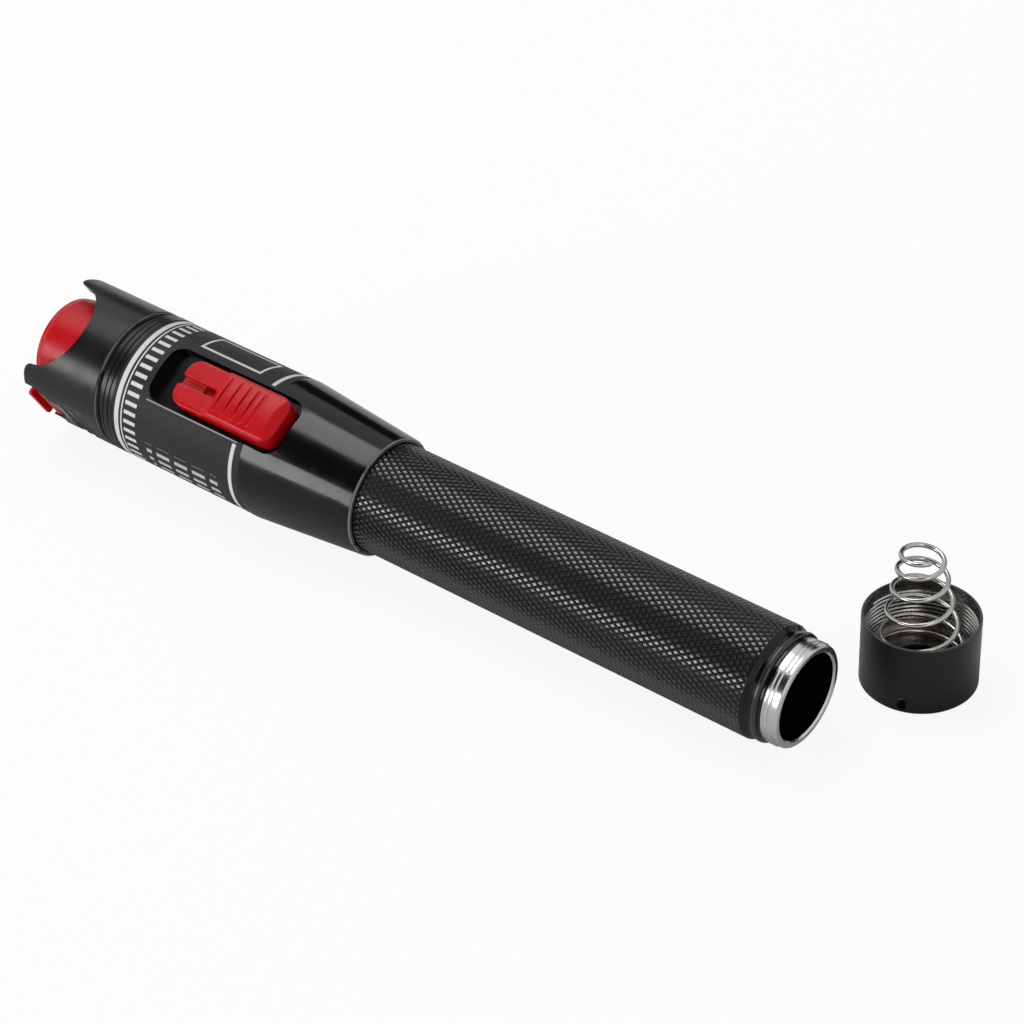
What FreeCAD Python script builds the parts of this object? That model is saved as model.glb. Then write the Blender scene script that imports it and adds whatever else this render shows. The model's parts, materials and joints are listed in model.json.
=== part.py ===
"""Pen-type visual fault locator for optical fibre: a 26 mm head and body, a knurled 20 mm battery tube,
a flip-up dust lid, a sliding switch, and the tail cap taken off and stood beside it.

Every piece is drawn in the pen's own frame, in mm: X runs along the pen's axis from the mouth (x = 0) to the
tail, +Z points out through the switch, and the lid's lever is on the -Y side. laid() then turns the pen
on to the floor, where it rests on the body's edge and on the end of the knurl, and the cap stands beside it.
"""
import FreeCAD, Part

import math
import os

V = FreeCAD.Vector

# ---- outside of the pen --------------------------------------------------------------------------
BODY_R = 13.0            # head and body
TUBE_R = 10.0            # over the crests of the knurl
HEAD_END = 17.6          # back of the head
BODY_FRONT = 18.8        # front face of the body, behind the dark groove
CONE_START = 52.5
SKIRT_END = 75.0
KNURL_END = 155.0
TAIL_END = 161.4
PEN_ROLL = 31.5          # the switch faces this far from straight up, degrees
EDGE = 0.3               # small turned chamfers

# ---- clearances ----------------------------------------------------------------------------------
SEAT_GAP = 0.05          # between pieces that stay put
SLIDE_GAP = 0.2          # between the slider and the pocket's floor
SIDE_GAP = 1.0           # between the slider and the pocket's sides
REST_GAP = 1.3           # behind the slider at rest
END_GAP = 0.3            # left at each end of a travel
PIN_GAP = 0.05           # lid on its pin

# ---- head ----------------------------------------------------------------------------------------
HEAD_WALL = 1.8
GROOVE_R = 12.2          # neck seen in the groove behind the head
SCALLOP_R = 8.7          # the two round bites in the mouth, one under the switch line and one opposite
SCALLOP_X = 1.3
SLOT_HALF = 5.9          # lever slot
SLOT_END = 7.0
LOBE_ROUND = 1.9         # tips of the lobes between the bites
SLOT_ROUND = 0.4         # their corners at the slot
SCOOP_X = 8.6            # deepest place of the thumb scoop behind the lever
SCOOP_R = 30.0
SCOOP_DEPTH = 0.8
RIDGES = 3               # cross grooves in the scoop
RIDGE_X = 9.3            # the first of them
RIDGE_PITCH = 2.6
RIDGE_R = 1.4
RIDGE_DEPTH = 0.35
BULKHEAD_X = 13.3
BULKHEAD = 2.1
SPIGOT_R = 11.0          # the head screws into the body here
SPIGOT_LENGTH = 5.0
SPIGOT_BORE = 8.0

# ---- fibre port and laser ------------------------------------------------------------------------
PORT_TIP = 3.5           # front of the port
PORT_R = 2.5
SHANK_R = 3.4            # thread that passes the bulkhead
NUT_THICK = 2.0
NUT_FLATS = 9.0
FLANGE_R = 5.5
FLANGE = 1.2
PORT_TAIL = 2.4          # spigot behind the flange that carries the laser barrel
PORT_TAIL_R = 3.2
FERRULE_R = 1.25         # 2.5 mm ferrules: FC, SC and ST
SLEEVE_WALL = 0.38
SLEEVE_LENGTH = 7.0
SLEEVE_SLIT = 0.5
STOP_R = 1.0             # the light's way behind the sleeve; its step stops the ferrule
PORT_LIP = 0.8
LASER_R = 5.0
LASER_BORE = 3.3
LASER_LENGTH = 16.0
LENS_R = 3.2
LENS_THICK = 1.2
LENS_CROWN = 0.5
LENS_RING = 0.9
DIODE_R = 2.8            # 5.6 mm laser diode
DIODE_BASE = 1.2
DIODE_CAN_R = 1.9
DIODE_CAN = 2.3
LEG_R = 0.22
LEG_LENGTH = 5.0
LEG_SPREAD = 0.9

# ---- dust lid ------------------------------------------------------------------------------------
LID_R = 9.3
LID_FRONT = -0.6         # the lid's edge stands this far out of the mouth
LID_BACK = 8.0
LID_CROWN = 0.7
LID_ROUND = 1.3
LID_WALL = 1.3
PIN_X = 2.6
PIN_Y = 10.5             # distance of the hinge pin from the pen's axis
PIN_R = 0.5
PIN_BITE = 0.9           # length of pin in each prong
LEVER_X = 0.1            # front of the lid's arm and of the tab at its end
LEVER_HALF = 3.9
LEVER_THICK = 0.9        # the tab, which the thumb pushes back
LEVER_OUT = 12.5         # its edge from the pen's axis
LEVER_ROUND = 0.6
KNUCKLE_R = 1.2
SEAL_R = 4.4
SEAL_RECESS = 0.6

# ---- body shell and its switch pocket ------------------------------------------------------------
CORE_R = 9.2             # bore that holds the module and the tube's front thread
LINE_X = (19.6, 20.7)    # two fine turned lines
LINE_WIDTH = 0.3
LINE_DEPTH = 0.25
LABEL_X = 21.6
LABEL_END = 51.6
LABEL_DEPTH = 0.2
LABEL_THICK = 0.14
POCKET_X = 28.5
POCKET_ROUND = 2.4       # front corners
POCKET_TAIL_ROUND = 3.3
POCKET_FLOOR = 10.3      # height of the pocket's floor above the axis
SLIT_HALF = 2.8          # slit in that floor for the slider's stem
TUBE_SEAT = 66.0         # the tube's shoulder stops here
SKIRT_GAP = 0.2          # round the knurl, inside the skirt
SKIRT_WALL = 0.75        # the skirt's rim

# ---- switch slider -------------------------------------------------------------------------------
TRAVEL = 4.5             # off at the back, then pulsed, then steady light
SLIDER_LENGTH = 23.9
SLIDER_HALF = 4.6
NOSE_TOP = 12.9          # heights above the axis
GRIP_TOP = 14.7
NOSE_LENGTH = 8.2
RAMP = 2.0
RAMP_ROUND = 1.1         # at its foot and at its top
TAIL_DROP = 0.7
TAIL_RAMP = 2.2
CROWN_R = 22.0           # sideways crown of the slider's top
SHOULDER_ROUND = 0.8     # its long edges
NOSE_ROUND = 3.0
TAIL_ROUND = 2.6
CHANNEL = 1.6
CHANNEL_LENGTH = 8.3
CHANNEL_DEPTH = 1.3
PEEP_LENGTH = 2.4        # small well in the channel
PEEP_DEPTH = 0.8
GROOVES = 5
GROOVE_START = 0.55      # from the ramp to the first
GROOVE_PITCH = 2.25
GROOVE_SHRINK = 0.2      # each pitch is this much less than the one before
GROOVE_WIDTH = 0.35
GROOVE_DEPTH = 0.4
GROOVE_HALF = 3.4
STEM_X = 5.2             # from the slider's nose
STEM_LENGTH = 13.7
STEM_BOTTOM = 6.9
BARB = 1.2
BARB_THICK = 0.8

# ---- module inside the body ----------------------------------------------------------------------
BOARD_HALF = 8.3
BOARD_THICK = 1.0
BOARD_GAP = 1.0          # between the laser barrel and the board
CARRIER_WALL = 1.45
CARRIER_FRONT = 3.0
RIB = 2.5
SWITCH_LENGTH = 11.0
SWITCH_HALF = 2.8
SWITCH_HEIGHT = 4.1
KNOB_X = 2.2             # the switch's own lever, along and across
KNOB_Y = 2.0
KNOB_BURIED = 1.2
KNOB_ROOM = 0.2
KNOB_TOP = 9.4
CHIP = (5.0, 4.0, 1.5)
CHIP_GAP = 1.85          # between the switch and the chip
CAPACITOR_R = 1.8
CAPACITOR_HEIGHT = 4.4
CAPACITOR_Y = 5.2
CAPACITOR_X = (41.5, 52.5)
SCREW_R = 0.8
SCREW_HEAD_R = 1.5
SCREW_HEAD = 0.8
SCREW_LENGTH = 3.2
SCREW_Y = 5.4
INSULATOR = 1.7
BUTTON_R = 3.0
BUTTON = 1.1
RIVET_R = 0.9
RIVET_LENGTH = 3.0
RING_X = 61.5            # front of the ground ring, behind the insulator
RING_WALL = 2.0
RING_THICK = 0.4

# ---- battery tube --------------------------------------------------------------------------------
CELL_BORE = 7.6          # two AA cells in line
NECK_R = 9.05
SHOULDER = 0.8
O_RING_X = 157.2
O_RING_SECTION = 0.65
O_RING_SINK = 0.7        # depth of its groove
THREAD_START = 158.8
THREAD_R = 9.15
RIM_CHAMFER = 0.45

# ---- tail cap, taken off and stood on its closed end ---------------------------------------------
CAP_WALL = 0.6           # behind the cap's thread
CAP_HEIGHT = 13.1
CAP_X = 166.4            # middle of the cap from the mouth's middle, on the floor
CAP_Y = 25.3
CAP_GAP = 0.1            # between the tail's thread and the cap's
CAP_RELIEF = 0.15        # the cap's mouth is this much wider than its thread
CAP_MOUTH = 1.6
CAP_FLOOR = 3.6
CAP_WELL_R = 8.7         # recess that takes the spring's foot
CAP_WELL = 1.3
CAP_PIT_R = 5.6          # deeper middle of the floor
CAP_PIT = 0.9
CAP_EDGE = 0.4
WASHER_R = 8.6
WASHER = 0.3
SPRING_WIRE = 0.47
SPRING_BASE_R = 7.95
SPRING_TOP_R = 3.15
SPRING_HEIGHT = 21.3
SPRING_TURNS = 5.8
SPRING_ARCS = 8          # arcs in each turn of its line
SPRING_START = 41.0      # where its foot ends, degrees about the cap from +X
SPRING_TAPER = 1.25
SPRING_FOOT_EASE = 1.2   # how gently it leaves its foot, and how nearly flat its last turn is
SPRING_TOP_EASE = 1.55
SPRING_LEAN = 0.6        # its small end stands this far off centre
SPRING_LEAN_TURN = 219.0
LANYARD_R = 0.8
LANYARD_Z = 1.9          # middle of the hole on the cap's side
LANYARD_TURN = -74.0     # degrees about the cap from +X

# ---- worked out from the above -------------------------------------------------------------------
SKIRT_BORE = TUBE_R + SKIRT_GAP
SKIRT_R = SKIRT_BORE + SKIRT_WALL
SLIDER_X = POCKET_X + END_GAP + TRAVEL
SLIDER_END = SLIDER_X + SLIDER_LENGTH
POCKET_HALF = SLIDER_HALF + SIDE_GAP
POCKET_END = SLIDER_END + REST_GAP
SLIT_X = SLIDER_X + STEM_X - TRAVEL - END_GAP
SLIT_END = SLIDER_X + STEM_X + STEM_LENGTH + END_GAP
FLANGE_X = BULKHEAD_X + BULKHEAD
LASER_X = FLANGE_X + FLANGE
LASER_END = LASER_X + LASER_LENGTH
BOARD_X = LASER_END + BOARD_GAP
BOARD_TOP = BOARD_THICK / 2
KNOB_REST = SLIDER_X + STEM_X + STEM_LENGTH / 2     # middle of the switch's lever at rest
SWITCH_X = KNOB_REST - TRAVEL / 2 - SWITCH_LENGTH / 2
SWITCH_END = SWITCH_X + SWITCH_LENGTH
INSULATOR_X = RING_X - INSULATOR
TUBE_FRONT = RING_X + RING_THICK
CAP_BORE = THREAD_R + CAP_GAP
CAP_R = CAP_BORE + CAP_WALL
CAP_MOUTH_BORE = CAP_BORE + CAP_RELIEF
PIN_HALF = SLOT_HALF + PIN_BITE
MODULE_R = CORE_R - SEAT_GAP
TILT = math.atan((BODY_R - TUBE_R) / (KNURL_END - CONE_START))


# ---- helpers -------------------------------------------------------------------------------------
def box(x0, x1, y0, y1, z0, z1):
    return Part.makeBox(x1 - x0, y1 - y0, z1 - z0, V(x0, y0, z0))


def rod(x0, x1, r, y=0.0, z=0.0):
    """Cylinder along the pen."""
    return Part.makeCylinder(r, x1 - x0, V(x0, y, z), V(1, 0, 0))


def turned(outline):
    """Solid of revolution about the pen's axis, from (x, radius) corners."""
    corners = [V(x, 0, r) for x, r in outline]
    face = Part.Face(Part.makePolygon(corners + corners[:1]))
    return face.revolve(V(0, 0, 0), V(1, 0, 0), 360)


def tube(x0, x1, outer, inner):
    return rod(x0, x1, outer).cut(rod(x0, x1, inner))


def rounded_prism(x0, x1, half, z0, z1, front_round, back_round):
    """Upright prism whose plan is a rectangle with rounded corners."""
    block = box(x0, x1, -half, half, z0, z1)
    upright = [e for e in block.Edges if abs(e.Vertexes[0].Z - e.Vertexes[1].Z) > (z1 - z0) / 2]
    middle = (x0 + x1) / 2
    front = [e for e in upright if e.Vertexes[0].X < middle]
    block = block.makeFillet(front_round, front)
    back = [e for e in block.Edges if len(e.Vertexes) == 2
            and abs(e.Vertexes[0].Z - e.Vertexes[1].Z) > (z1 - z0) / 2
            and min(v.X for v in e.Vertexes) > x1 - 1e-6]
    return block.makeFillet(back_round, back)


# ---- head ----------------------------------------------------------------------------------------
def head_shell():
    inner = BODY_R - HEAD_WALL
    spigot_end = BODY_FRONT + SPIGOT_LENGTH
    shell = turned([(0, inner), (0, BODY_R), (HEAD_END - EDGE, BODY_R), (HEAD_END, BODY_R - EDGE),
                    (HEAD_END, GROOVE_R), (BODY_FRONT, GROOVE_R), (BODY_FRONT, SPIGOT_R),
                    (spigot_end, SPIGOT_R), (spigot_end, SPIGOT_BORE), (FLANGE_X, SPIGOT_BORE),
                    (FLANGE_X, SHANK_R + SEAT_GAP), (BULKHEAD_X, SHANK_R + SEAT_GAP), (BULKHEAD_X, inner)])
    reach = BODY_R + 1
    bites = u_cut(SCALLOP_R, SCALLOP_X, LOBE_ROUND, 2 * reach)
    bites.translate(V(0, 0, -reach))
    slot = u_cut(SLOT_HALF, SLOT_END - SLOT_HALF, SLOT_ROUND, reach - inner / 2)
    slot.rotate(V(0, 0, 0), V(1, 0, 0), 90)
    slot.translate(V(0, -inner / 2, 0))
    hole = Part.makeCylinder(PIN_R, reach + PIN_HALF, V(PIN_X, -PIN_Y, -reach), V(0, 0, 1))
    return shell.cut([bites, slot, hole] + thumb_scoop())


def thumb_scoop():
    """Cutters for the shallow hollow where the thumb meets the lever, and for the cross grooves in it."""
    floor = BODY_R - SCOOP_DEPTH
    places = [(SCOOP_R, SCOOP_X, floor + SCOOP_R)]
    for k in range(RIDGES):
        x = RIDGE_X + k * RIDGE_PITCH
        surface = floor + SCOOP_R - math.sqrt(SCOOP_R ** 2 - (x - SCOOP_X) ** 2)
        places.append((RIDGE_R, x, surface - RIDGE_DEPTH + RIDGE_R))
    return [Part.makeCylinder(r, 2 * BODY_R, V(x, -y, -BODY_R)) for r, x, y in places]


def u_cut(half, turn_x, flare, depth):
    """Cutter for a U-shaped opening in the mouth, drawn in X and Y and as deep as given along Z. The bottom
    of the U is an arc about x = turn_x, and arcs of radius flare round off the corners that it leaves."""
    past = max(0.0, flare - turn_x)
    flare_y = math.sqrt((half + flare) ** 2 - past ** 2)
    touch = V(flare - flare * past / (half + flare), flare_y - flare * flare_y / (half + flare), 0)
    middle = V(flare, flare_y, 0) + (touch - V(flare, flare_y, 0) + V(-flare, 0, 0)).normalize() * flare

    def other(p):
        return V(p.x, -p.y, 0)
    lip = V(0, flare_y, 0)
    out = V(-1, flare_y, 0)
    edges = [Part.LineSegment(other(out), out), Part.LineSegment(out, lip), Part.Arc(lip, middle, touch)]
    if touch.x < turn_x - 1e-6:
        edges.append(Part.LineSegment(touch, V(turn_x, half, 0)))
    start = touch if touch.x >= turn_x - 1e-6 else V(turn_x, half, 0)
    edges.append(Part.Arc(start, V(turn_x + half, 0, 0), other(start)))
    if touch.x < turn_x - 1e-6:
        edges.append(Part.LineSegment(other(start), other(touch)))
    edges += [Part.Arc(other(touch), other(middle), other(lip)), Part.LineSegment(other(lip), other(out))]
    wire = Part.Wire([e.toShape() for e in edges])
    return Part.Face(wire).extrude(V(0, 0, depth))


def hinge_pin():
    return Part.makeCylinder(PIN_R, 2 * PIN_HALF, V(PIN_X, -PIN_Y, -PIN_HALF), V(0, 0, 1))


# ---- fibre port and laser ------------------------------------------------------------------------
def port_body():
    """Flanged bush through the bulkhead: the sleeve sits in its front, the laser barrel on its tail."""
    sleeve_r = FERRULE_R + SLEEVE_WALL + SEAT_GAP
    sleeve_end = PORT_TIP + PORT_LIP + SLEEVE_LENGTH
    step = BULKHEAD_X - NUT_THICK - EDGE
    tail = LASER_X + PORT_TAIL
    return turned([(PORT_TIP, FERRULE_R + EDGE), (PORT_TIP, PORT_R - EDGE), (PORT_TIP + EDGE, PORT_R),
                   (step, PORT_R), (step + EDGE, SHANK_R), (FLANGE_X, SHANK_R), (FLANGE_X, FLANGE_R),
                   (LASER_X, FLANGE_R), (LASER_X, PORT_TAIL_R), (tail, PORT_TAIL_R), (tail, STOP_R),
                   (sleeve_end, STOP_R), (sleeve_end, sleeve_r), (PORT_TIP + PORT_LIP, sleeve_r),
                   (PORT_TIP + PORT_LIP, FERRULE_R + EDGE / 2)])


def port_nut():
    across = NUT_FLATS / math.cos(math.pi / 6) / 2
    corners = [V(0, across * math.cos(k * math.pi / 3), across * math.sin(k * math.pi / 3)) for k in range(6)]
    nut = Part.Face(Part.makePolygon(corners + corners[:1])).extrude(V(NUT_THICK, 0, 0))
    nut.translate(V(BULKHEAD_X - NUT_THICK, 0, 0))
    return nut.cut(rod(0, BULKHEAD_X, SHANK_R + SEAT_GAP))


def ceramic_sleeve():
    """Split zirconia sleeve that lines up the ferrule."""
    start = PORT_TIP + PORT_LIP
    sleeve = tube(start, start + SLEEVE_LENGTH, FERRULE_R + SLEEVE_WALL, FERRULE_R)
    return sleeve.cut(box(start, start + SLEEVE_LENGTH, -SLEEVE_SLIT / 2, SLEEVE_SLIT / 2, 0, PORT_R))


def laser_barrel():
    diode_seat = LASER_END - DIODE_BASE
    return turned([(LASER_X, PORT_TAIL_R + SEAT_GAP), (LASER_X, LASER_R - EDGE), (LASER_X + EDGE, LASER_R),
                   (LASER_END, LASER_R), (LASER_END, DIODE_R + SEAT_GAP), (diode_seat, DIODE_R + SEAT_GAP),
                   (diode_seat, DIODE_CAN_R + SEAT_GAP), (diode_seat - DIODE_CAN, DIODE_CAN_R + SEAT_GAP),
                   (diode_seat - DIODE_CAN, LASER_BORE - LENS_RING),
                   (lens_back() + LENS_RING, LASER_BORE - LENS_RING), (lens_back() + LENS_RING, LASER_BORE)])


def lens_back():
    return LASER_X + PORT_TAIL + LENS_CROWN + LENS_THICK


def lens():
    """Plano-convex collimating lens, convex side to the port."""
    back = lens_back()
    front = back - LENS_THICK
    ball_r = (LENS_R ** 2 + LENS_CROWN ** 2) / (2 * LENS_CROWN)
    ball = Part.makeSphere(ball_r, V(front - LENS_CROWN + ball_r, 0, 0))
    return ball.common(rod(front - 2 * LENS_CROWN, back, LENS_R))


def lens_ring():
    return tube(lens_back(), lens_back() + LENS_RING, LASER_BORE - SEAT_GAP, LASER_BORE - LENS_RING)


def laser_diode():
    """Can, flange and three legs; two legs lie on the board and the third under it."""
    flange = rod(LASER_END - DIODE_BASE, LASER_END, DIODE_R)
    can = rod(LASER_END - DIODE_BASE - DIODE_CAN, LASER_END, DIODE_CAN_R)
    over = BOARD_TOP + LEG_R
    legs = [rod(LASER_END - EDGE, LASER_END + LEG_LENGTH, LEG_R, y, z)
            for y, z in ((-LEG_SPREAD, over), (LEG_SPREAD, over), (0, -over))]
    return flange.fuse([can] + legs)


# ---- dust lid ------------------------------------------------------------------------------------
def dust_lid():
    """Moulded lid: a crowned cup in the mouth, and an arm that turns on the pin and ends in a tab."""
    crown_r = (LID_R ** 2 + LID_CROWN ** 2) / (2 * LID_CROWN)
    cup = rod(LID_FRONT - LID_CROWN, LID_BACK, LID_R)
    cup = cup.common(Part.makeSphere(crown_r, V(LID_FRONT - LID_CROWN + crown_r, 0, 0)))
    rim = [e for e in cup.Edges if len(e.Vertexes) == 1 and abs(e.Vertexes[0].X - LID_FRONT) < 0.05]
    cup = cup.makeFillet(LID_ROUND, rim)
    reach = -LID_R + LID_WALL
    arm = box(LEVER_X, PIN_X + KNUCKLE_R, -PIN_Y, reach, -LEVER_HALF, LEVER_HALF)
    knuckle = Part.makeCylinder(KNUCKLE_R, 2 * LEVER_HALF, V(PIN_X, -PIN_Y, -LEVER_HALF))
    lid = cup.fuse([arm, knuckle, lever()])
    lid = lid.cut(rod(LID_FRONT + LID_WALL, LID_BACK + 1, LID_R - LID_WALL))
    return lid.cut(Part.makeCylinder(PIN_R + PIN_GAP, 2 * BODY_R, V(PIN_X, -PIN_Y, -BODY_R)))


def lever():
    """The tab at the end of the lid's arm: it stands across the slot, and its outer corners are round."""
    tab = box(LEVER_X, LEVER_X + LEVER_THICK, -LEVER_OUT, -PIN_Y, -LEVER_HALF, LEVER_HALF)
    corners = [e for e in tab.Edges if abs(e.Vertexes[0].X - e.Vertexes[1].X) > LEVER_THICK / 2
               and max(v.Y for v in e.Vertexes) < -PIN_Y - LEVER_ROUND]
    return tab.makeFillet(LEVER_ROUND, corners)


def lid_seal():
    """Soft pad in the lid, just clear of the port's tip."""
    front = LID_FRONT + LID_WALL
    pad = rod(front, PORT_TIP - END_GAP, SEAL_R)
    return pad.cut(rod(PORT_TIP - END_GAP - SEAL_RECESS, PORT_TIP, FERRULE_R + EDGE))


# ---- body shell, label and slider ----------------------------------------------------------------
def pocket_block(z0, z1):
    return rounded_prism(POCKET_X, POCKET_END, POCKET_HALF, z0, z1, POCKET_ROUND, POCKET_TAIL_ROUND)


def body_shell():
    """Turned shell: spigot bore, module bore, cone and skirt, with the switch pocket milled in its top."""
    label_r = BODY_R - LABEL_DEPTH
    lines = []
    for x in LINE_X:
        lines += [(x - LINE_WIDTH / 2, BODY_R), (x, BODY_R - LINE_DEPTH), (x + LINE_WIDTH / 2, BODY_R)]
    spigot_end = BODY_FRONT + SPIGOT_LENGTH + EDGE
    shell = turned([(BODY_FRONT, SPIGOT_R + SEAT_GAP), (BODY_FRONT, BODY_R - EDGE), (BODY_FRONT + EDGE, BODY_R)]
                   + lines +
                   [(LABEL_X, BODY_R), (LABEL_X, label_r), (LABEL_END, label_r), (LABEL_END, BODY_R),
                    (CONE_START, BODY_R), (SKIRT_END - EDGE, SKIRT_R), (SKIRT_END, SKIRT_R - EDGE),
                    (SKIRT_END, SKIRT_BORE), (TUBE_SEAT, SKIRT_BORE), (TUBE_SEAT, CORE_R),
                    (spigot_end, CORE_R), (spigot_end, SPIGOT_R + SEAT_GAP)])
    slit = rounded_prism(SLIT_X, SLIT_END, SLIT_HALF, 0, BODY_R, EDGE, EDGE)
    return shell.cut([pocket_block(POCKET_FLOOR, BODY_R + 1), slit])


def label_wrap():
    """Printed film round the body, cut out at the pocket."""
    inner = BODY_R - LABEL_DEPTH
    wrap = tube(LABEL_X + SEAT_GAP, LABEL_END - SEAT_GAP, inner + LABEL_THICK, inner)
    return wrap.cut(pocket_block(0, BODY_R + 1))


def switch_slider():
    """Sliding button: low nose with a channel, ramp, ribbed grip, and a stem barbed under the floor."""
    bottom = POCKET_FLOOR + SLIDE_GAP
    button = side_profile(bottom).common(end_profile(bottom))
    button = button.common(rounded_prism(SLIDER_X, SLIDER_END, SLIDER_HALF, bottom, GRIP_TOP,
                                         NOSE_ROUND, TAIL_ROUND))
    button = button.cut(slider_cuts())
    stem_x = SLIDER_X + STEM_X
    stem_end = stem_x + STEM_LENGTH
    stem_half = SLIT_HALF - END_GAP
    stem = box(stem_x, stem_end, -stem_half, stem_half, STEM_BOTTOM, bottom + EDGE)
    barbs = box(stem_x, stem_end, -stem_half - BARB, stem_half + BARB, STEM_BOTTOM, STEM_BOTTOM + BARB_THICK)
    fork = box(KNOB_REST - KNOB_X / 2 - SEAT_GAP, KNOB_REST + KNOB_X / 2 + SEAT_GAP, -BODY_R, BODY_R,
               STEM_BOTTOM - 1, KNOB_TOP + SEAT_GAP)
    return button.fuse(stem.fuse(barbs).cut(fork))


def side_profile(bottom):
    """The button as seen from the side: nose, ramp with a hollow foot and a round top, and falling tail."""
    ramp_x = SLIDER_X + NOSE_LENGTH
    side = [(SLIDER_X, bottom), (SLIDER_X, NOSE_TOP - EDGE), (SLIDER_X + EDGE, NOSE_TOP), (ramp_x, NOSE_TOP),
            (ramp_x + RAMP, GRIP_TOP), (SLIDER_END - TAIL_RAMP, GRIP_TOP),
            (SLIDER_END - EDGE, GRIP_TOP - TAIL_DROP), (SLIDER_END, GRIP_TOP - TAIL_DROP - EDGE),
            (SLIDER_END, bottom)]
    corners = [V(x, -SLIDER_HALF, z) for x, z in side]
    button = Part.Face(Part.makePolygon(corners + corners[:1])).extrude(V(0, 2 * SLIDER_HALF, 0))
    bends = [e for e in button.Edges if abs(e.Vertexes[0].Y - e.Vertexes[1].Y) > SLIDER_HALF
             and SLIDER_X + EDGE < e.Vertexes[0].X - EDGE and e.Vertexes[0].X < SLIDER_END - TAIL_RAMP + EDGE
             and e.Vertexes[0].Z > NOSE_TOP - EDGE]
    return button.makeFillet(RAMP_ROUND, bends)


def end_profile(bottom):
    """The button as seen from its end: upright sides, round shoulders and a low crown."""
    shoulder = GRIP_TOP - CROWN_R + math.sqrt(CROWN_R ** 2 - SLIDER_HALF ** 2)
    low = [V(0, SLIDER_HALF, shoulder), V(0, SLIDER_HALF, bottom), V(0, -SLIDER_HALF, bottom),
           V(0, -SLIDER_HALF, shoulder)]
    edges = [Part.LineSegment(a, b).toShape() for a, b in zip(low, low[1:])]
    edges.append(Part.Arc(low[3], V(0, 0, GRIP_TOP), low[0]).toShape())
    bar = Part.Face(Part.Wire(edges)).extrude(V(SLIDER_LENGTH, 0, 0))
    bar.translate(V(SLIDER_X, 0, 0))
    long_edges = [e for e in bar.Edges if abs(e.Vertexes[0].X - e.Vertexes[1].X) > SLIDER_LENGTH / 2
                  and e.Vertexes[0].Z > shoulder - EDGE]
    return bar.makeFillet(SHOULDER_ROUND, long_edges)


def slider_cuts():
    """Channel and well in the nose, and the grip's cross grooves."""
    floor = NOSE_TOP - CHANNEL_DEPTH
    end = SLIDER_X + CHANNEL_LENGTH
    channel = box(SLIDER_X - 1, end - CHANNEL / 2, -CHANNEL / 2, CHANNEL / 2, floor, GRIP_TOP)
    channel_end = Part.makeCylinder(CHANNEL / 2, GRIP_TOP - floor, V(end - CHANNEL / 2, 0, floor))
    well = box(end - CHANNEL / 2 - PEEP_LENGTH, end - CHANNEL / 2, -CHANNEL / 2, CHANNEL / 2,
               floor - PEEP_DEPTH, GRIP_TOP)
    cuts = [channel, channel_end, well]
    x = SLIDER_X + NOSE_LENGTH + RAMP + GROOVE_START
    for k in range(GROOVES):
        cuts.append(box(x - GROOVE_WIDTH / 2, x + GROOVE_WIDTH / 2, -GROOVE_HALF, GROOVE_HALF,
                        GRIP_TOP - GROOVE_DEPTH, GRIP_TOP + 1))
        x += GROOVE_PITCH - k * GROOVE_SHRINK
    return cuts


# ---- switch, board and contacts ------------------------------------------------------------------
def switch_lever():
    """The slide switch's own lever, held in the fork of the slider's stem."""
    low = BOARD_TOP + SWITCH_HEIGHT - KNOB_BURIED
    return box(KNOB_REST - KNOB_X / 2, KNOB_REST + KNOB_X / 2, -KNOB_Y / 2, KNOB_Y / 2, low, KNOB_TOP)


def switch_block():
    top = BOARD_TOP + SWITCH_HEIGHT
    block = box(SWITCH_X, SWITCH_END, -SWITCH_HALF, SWITCH_HALF, BOARD_TOP, top)
    room = box(KNOB_REST - TRAVEL - KNOB_X / 2 - KNOB_ROOM, KNOB_REST + KNOB_X / 2 + KNOB_ROOM,
               -KNOB_Y / 2 - KNOB_ROOM, KNOB_Y / 2 + KNOB_ROOM, top - KNOB_BURIED - KNOB_ROOM, top + 1)
    return block.cut(room)


def screw_places():
    first = LASER_END + CARRIER_FRONT + RIB / 2
    return ((first, SCREW_Y), (INSULATOR_X - SCREW_HEAD_R - EDGE, -SCREW_Y))


def module_carrier():
    """Moulded cradle: a front collar on the laser barrel and a trough whose rims and ribs carry the board."""
    front = LASER_END - CARRIER_FRONT
    collar = tube(front, LASER_END, MODULE_R, LASER_R + SEAT_GAP)
    trough = tube(LASER_END, INSULATOR_X, MODULE_R, MODULE_R - CARRIER_WALL)
    ribs = [rod(x - RIB / 2, x + RIB / 2, MODULE_R) for x, _ in screw_places()]
    lower = box(LASER_END, INSULATOR_X, -MODULE_R, MODULE_R, -MODULE_R, -BOARD_TOP)
    cradle = trough.fuse(ribs).common(lower)
    leg_room = box(LASER_END, LASER_END + LEG_LENGTH + EDGE, -LEG_SPREAD, LEG_SPREAD,
                   -BOARD_TOP - 3 * LEG_R, 0)
    rivet_room = rod(INSULATOR_X - RIVET_LENGTH, INSULATOR_X, RIVET_R + SEAT_GAP)
    holes = [Part.makeCylinder(SCREW_R + SEAT_GAP, SCREW_LENGTH, V(x, y, BOARD_TOP), V(0, 0, -1))
             for x, y in screw_places()]
    return collar.fuse(cradle).cut([leg_room, rivet_room] + holes)


def circuit_board():
    board = box(BOARD_X, INSULATOR_X, -BOARD_HALF, BOARD_HALF, -BOARD_TOP, BOARD_TOP)
    holes = [Part.makeCylinder(SCREW_R + SEAT_GAP, 2 * BOARD_THICK, V(x, y, -BOARD_THICK))
             for x, y in screw_places()]
    notch = box(INSULATOR_X - RIVET_LENGTH, INSULATOR_X + 1, -RIVET_R, RIVET_R, -BOARD_THICK, BOARD_THICK)
    return board.cut(holes + [notch])


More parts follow.
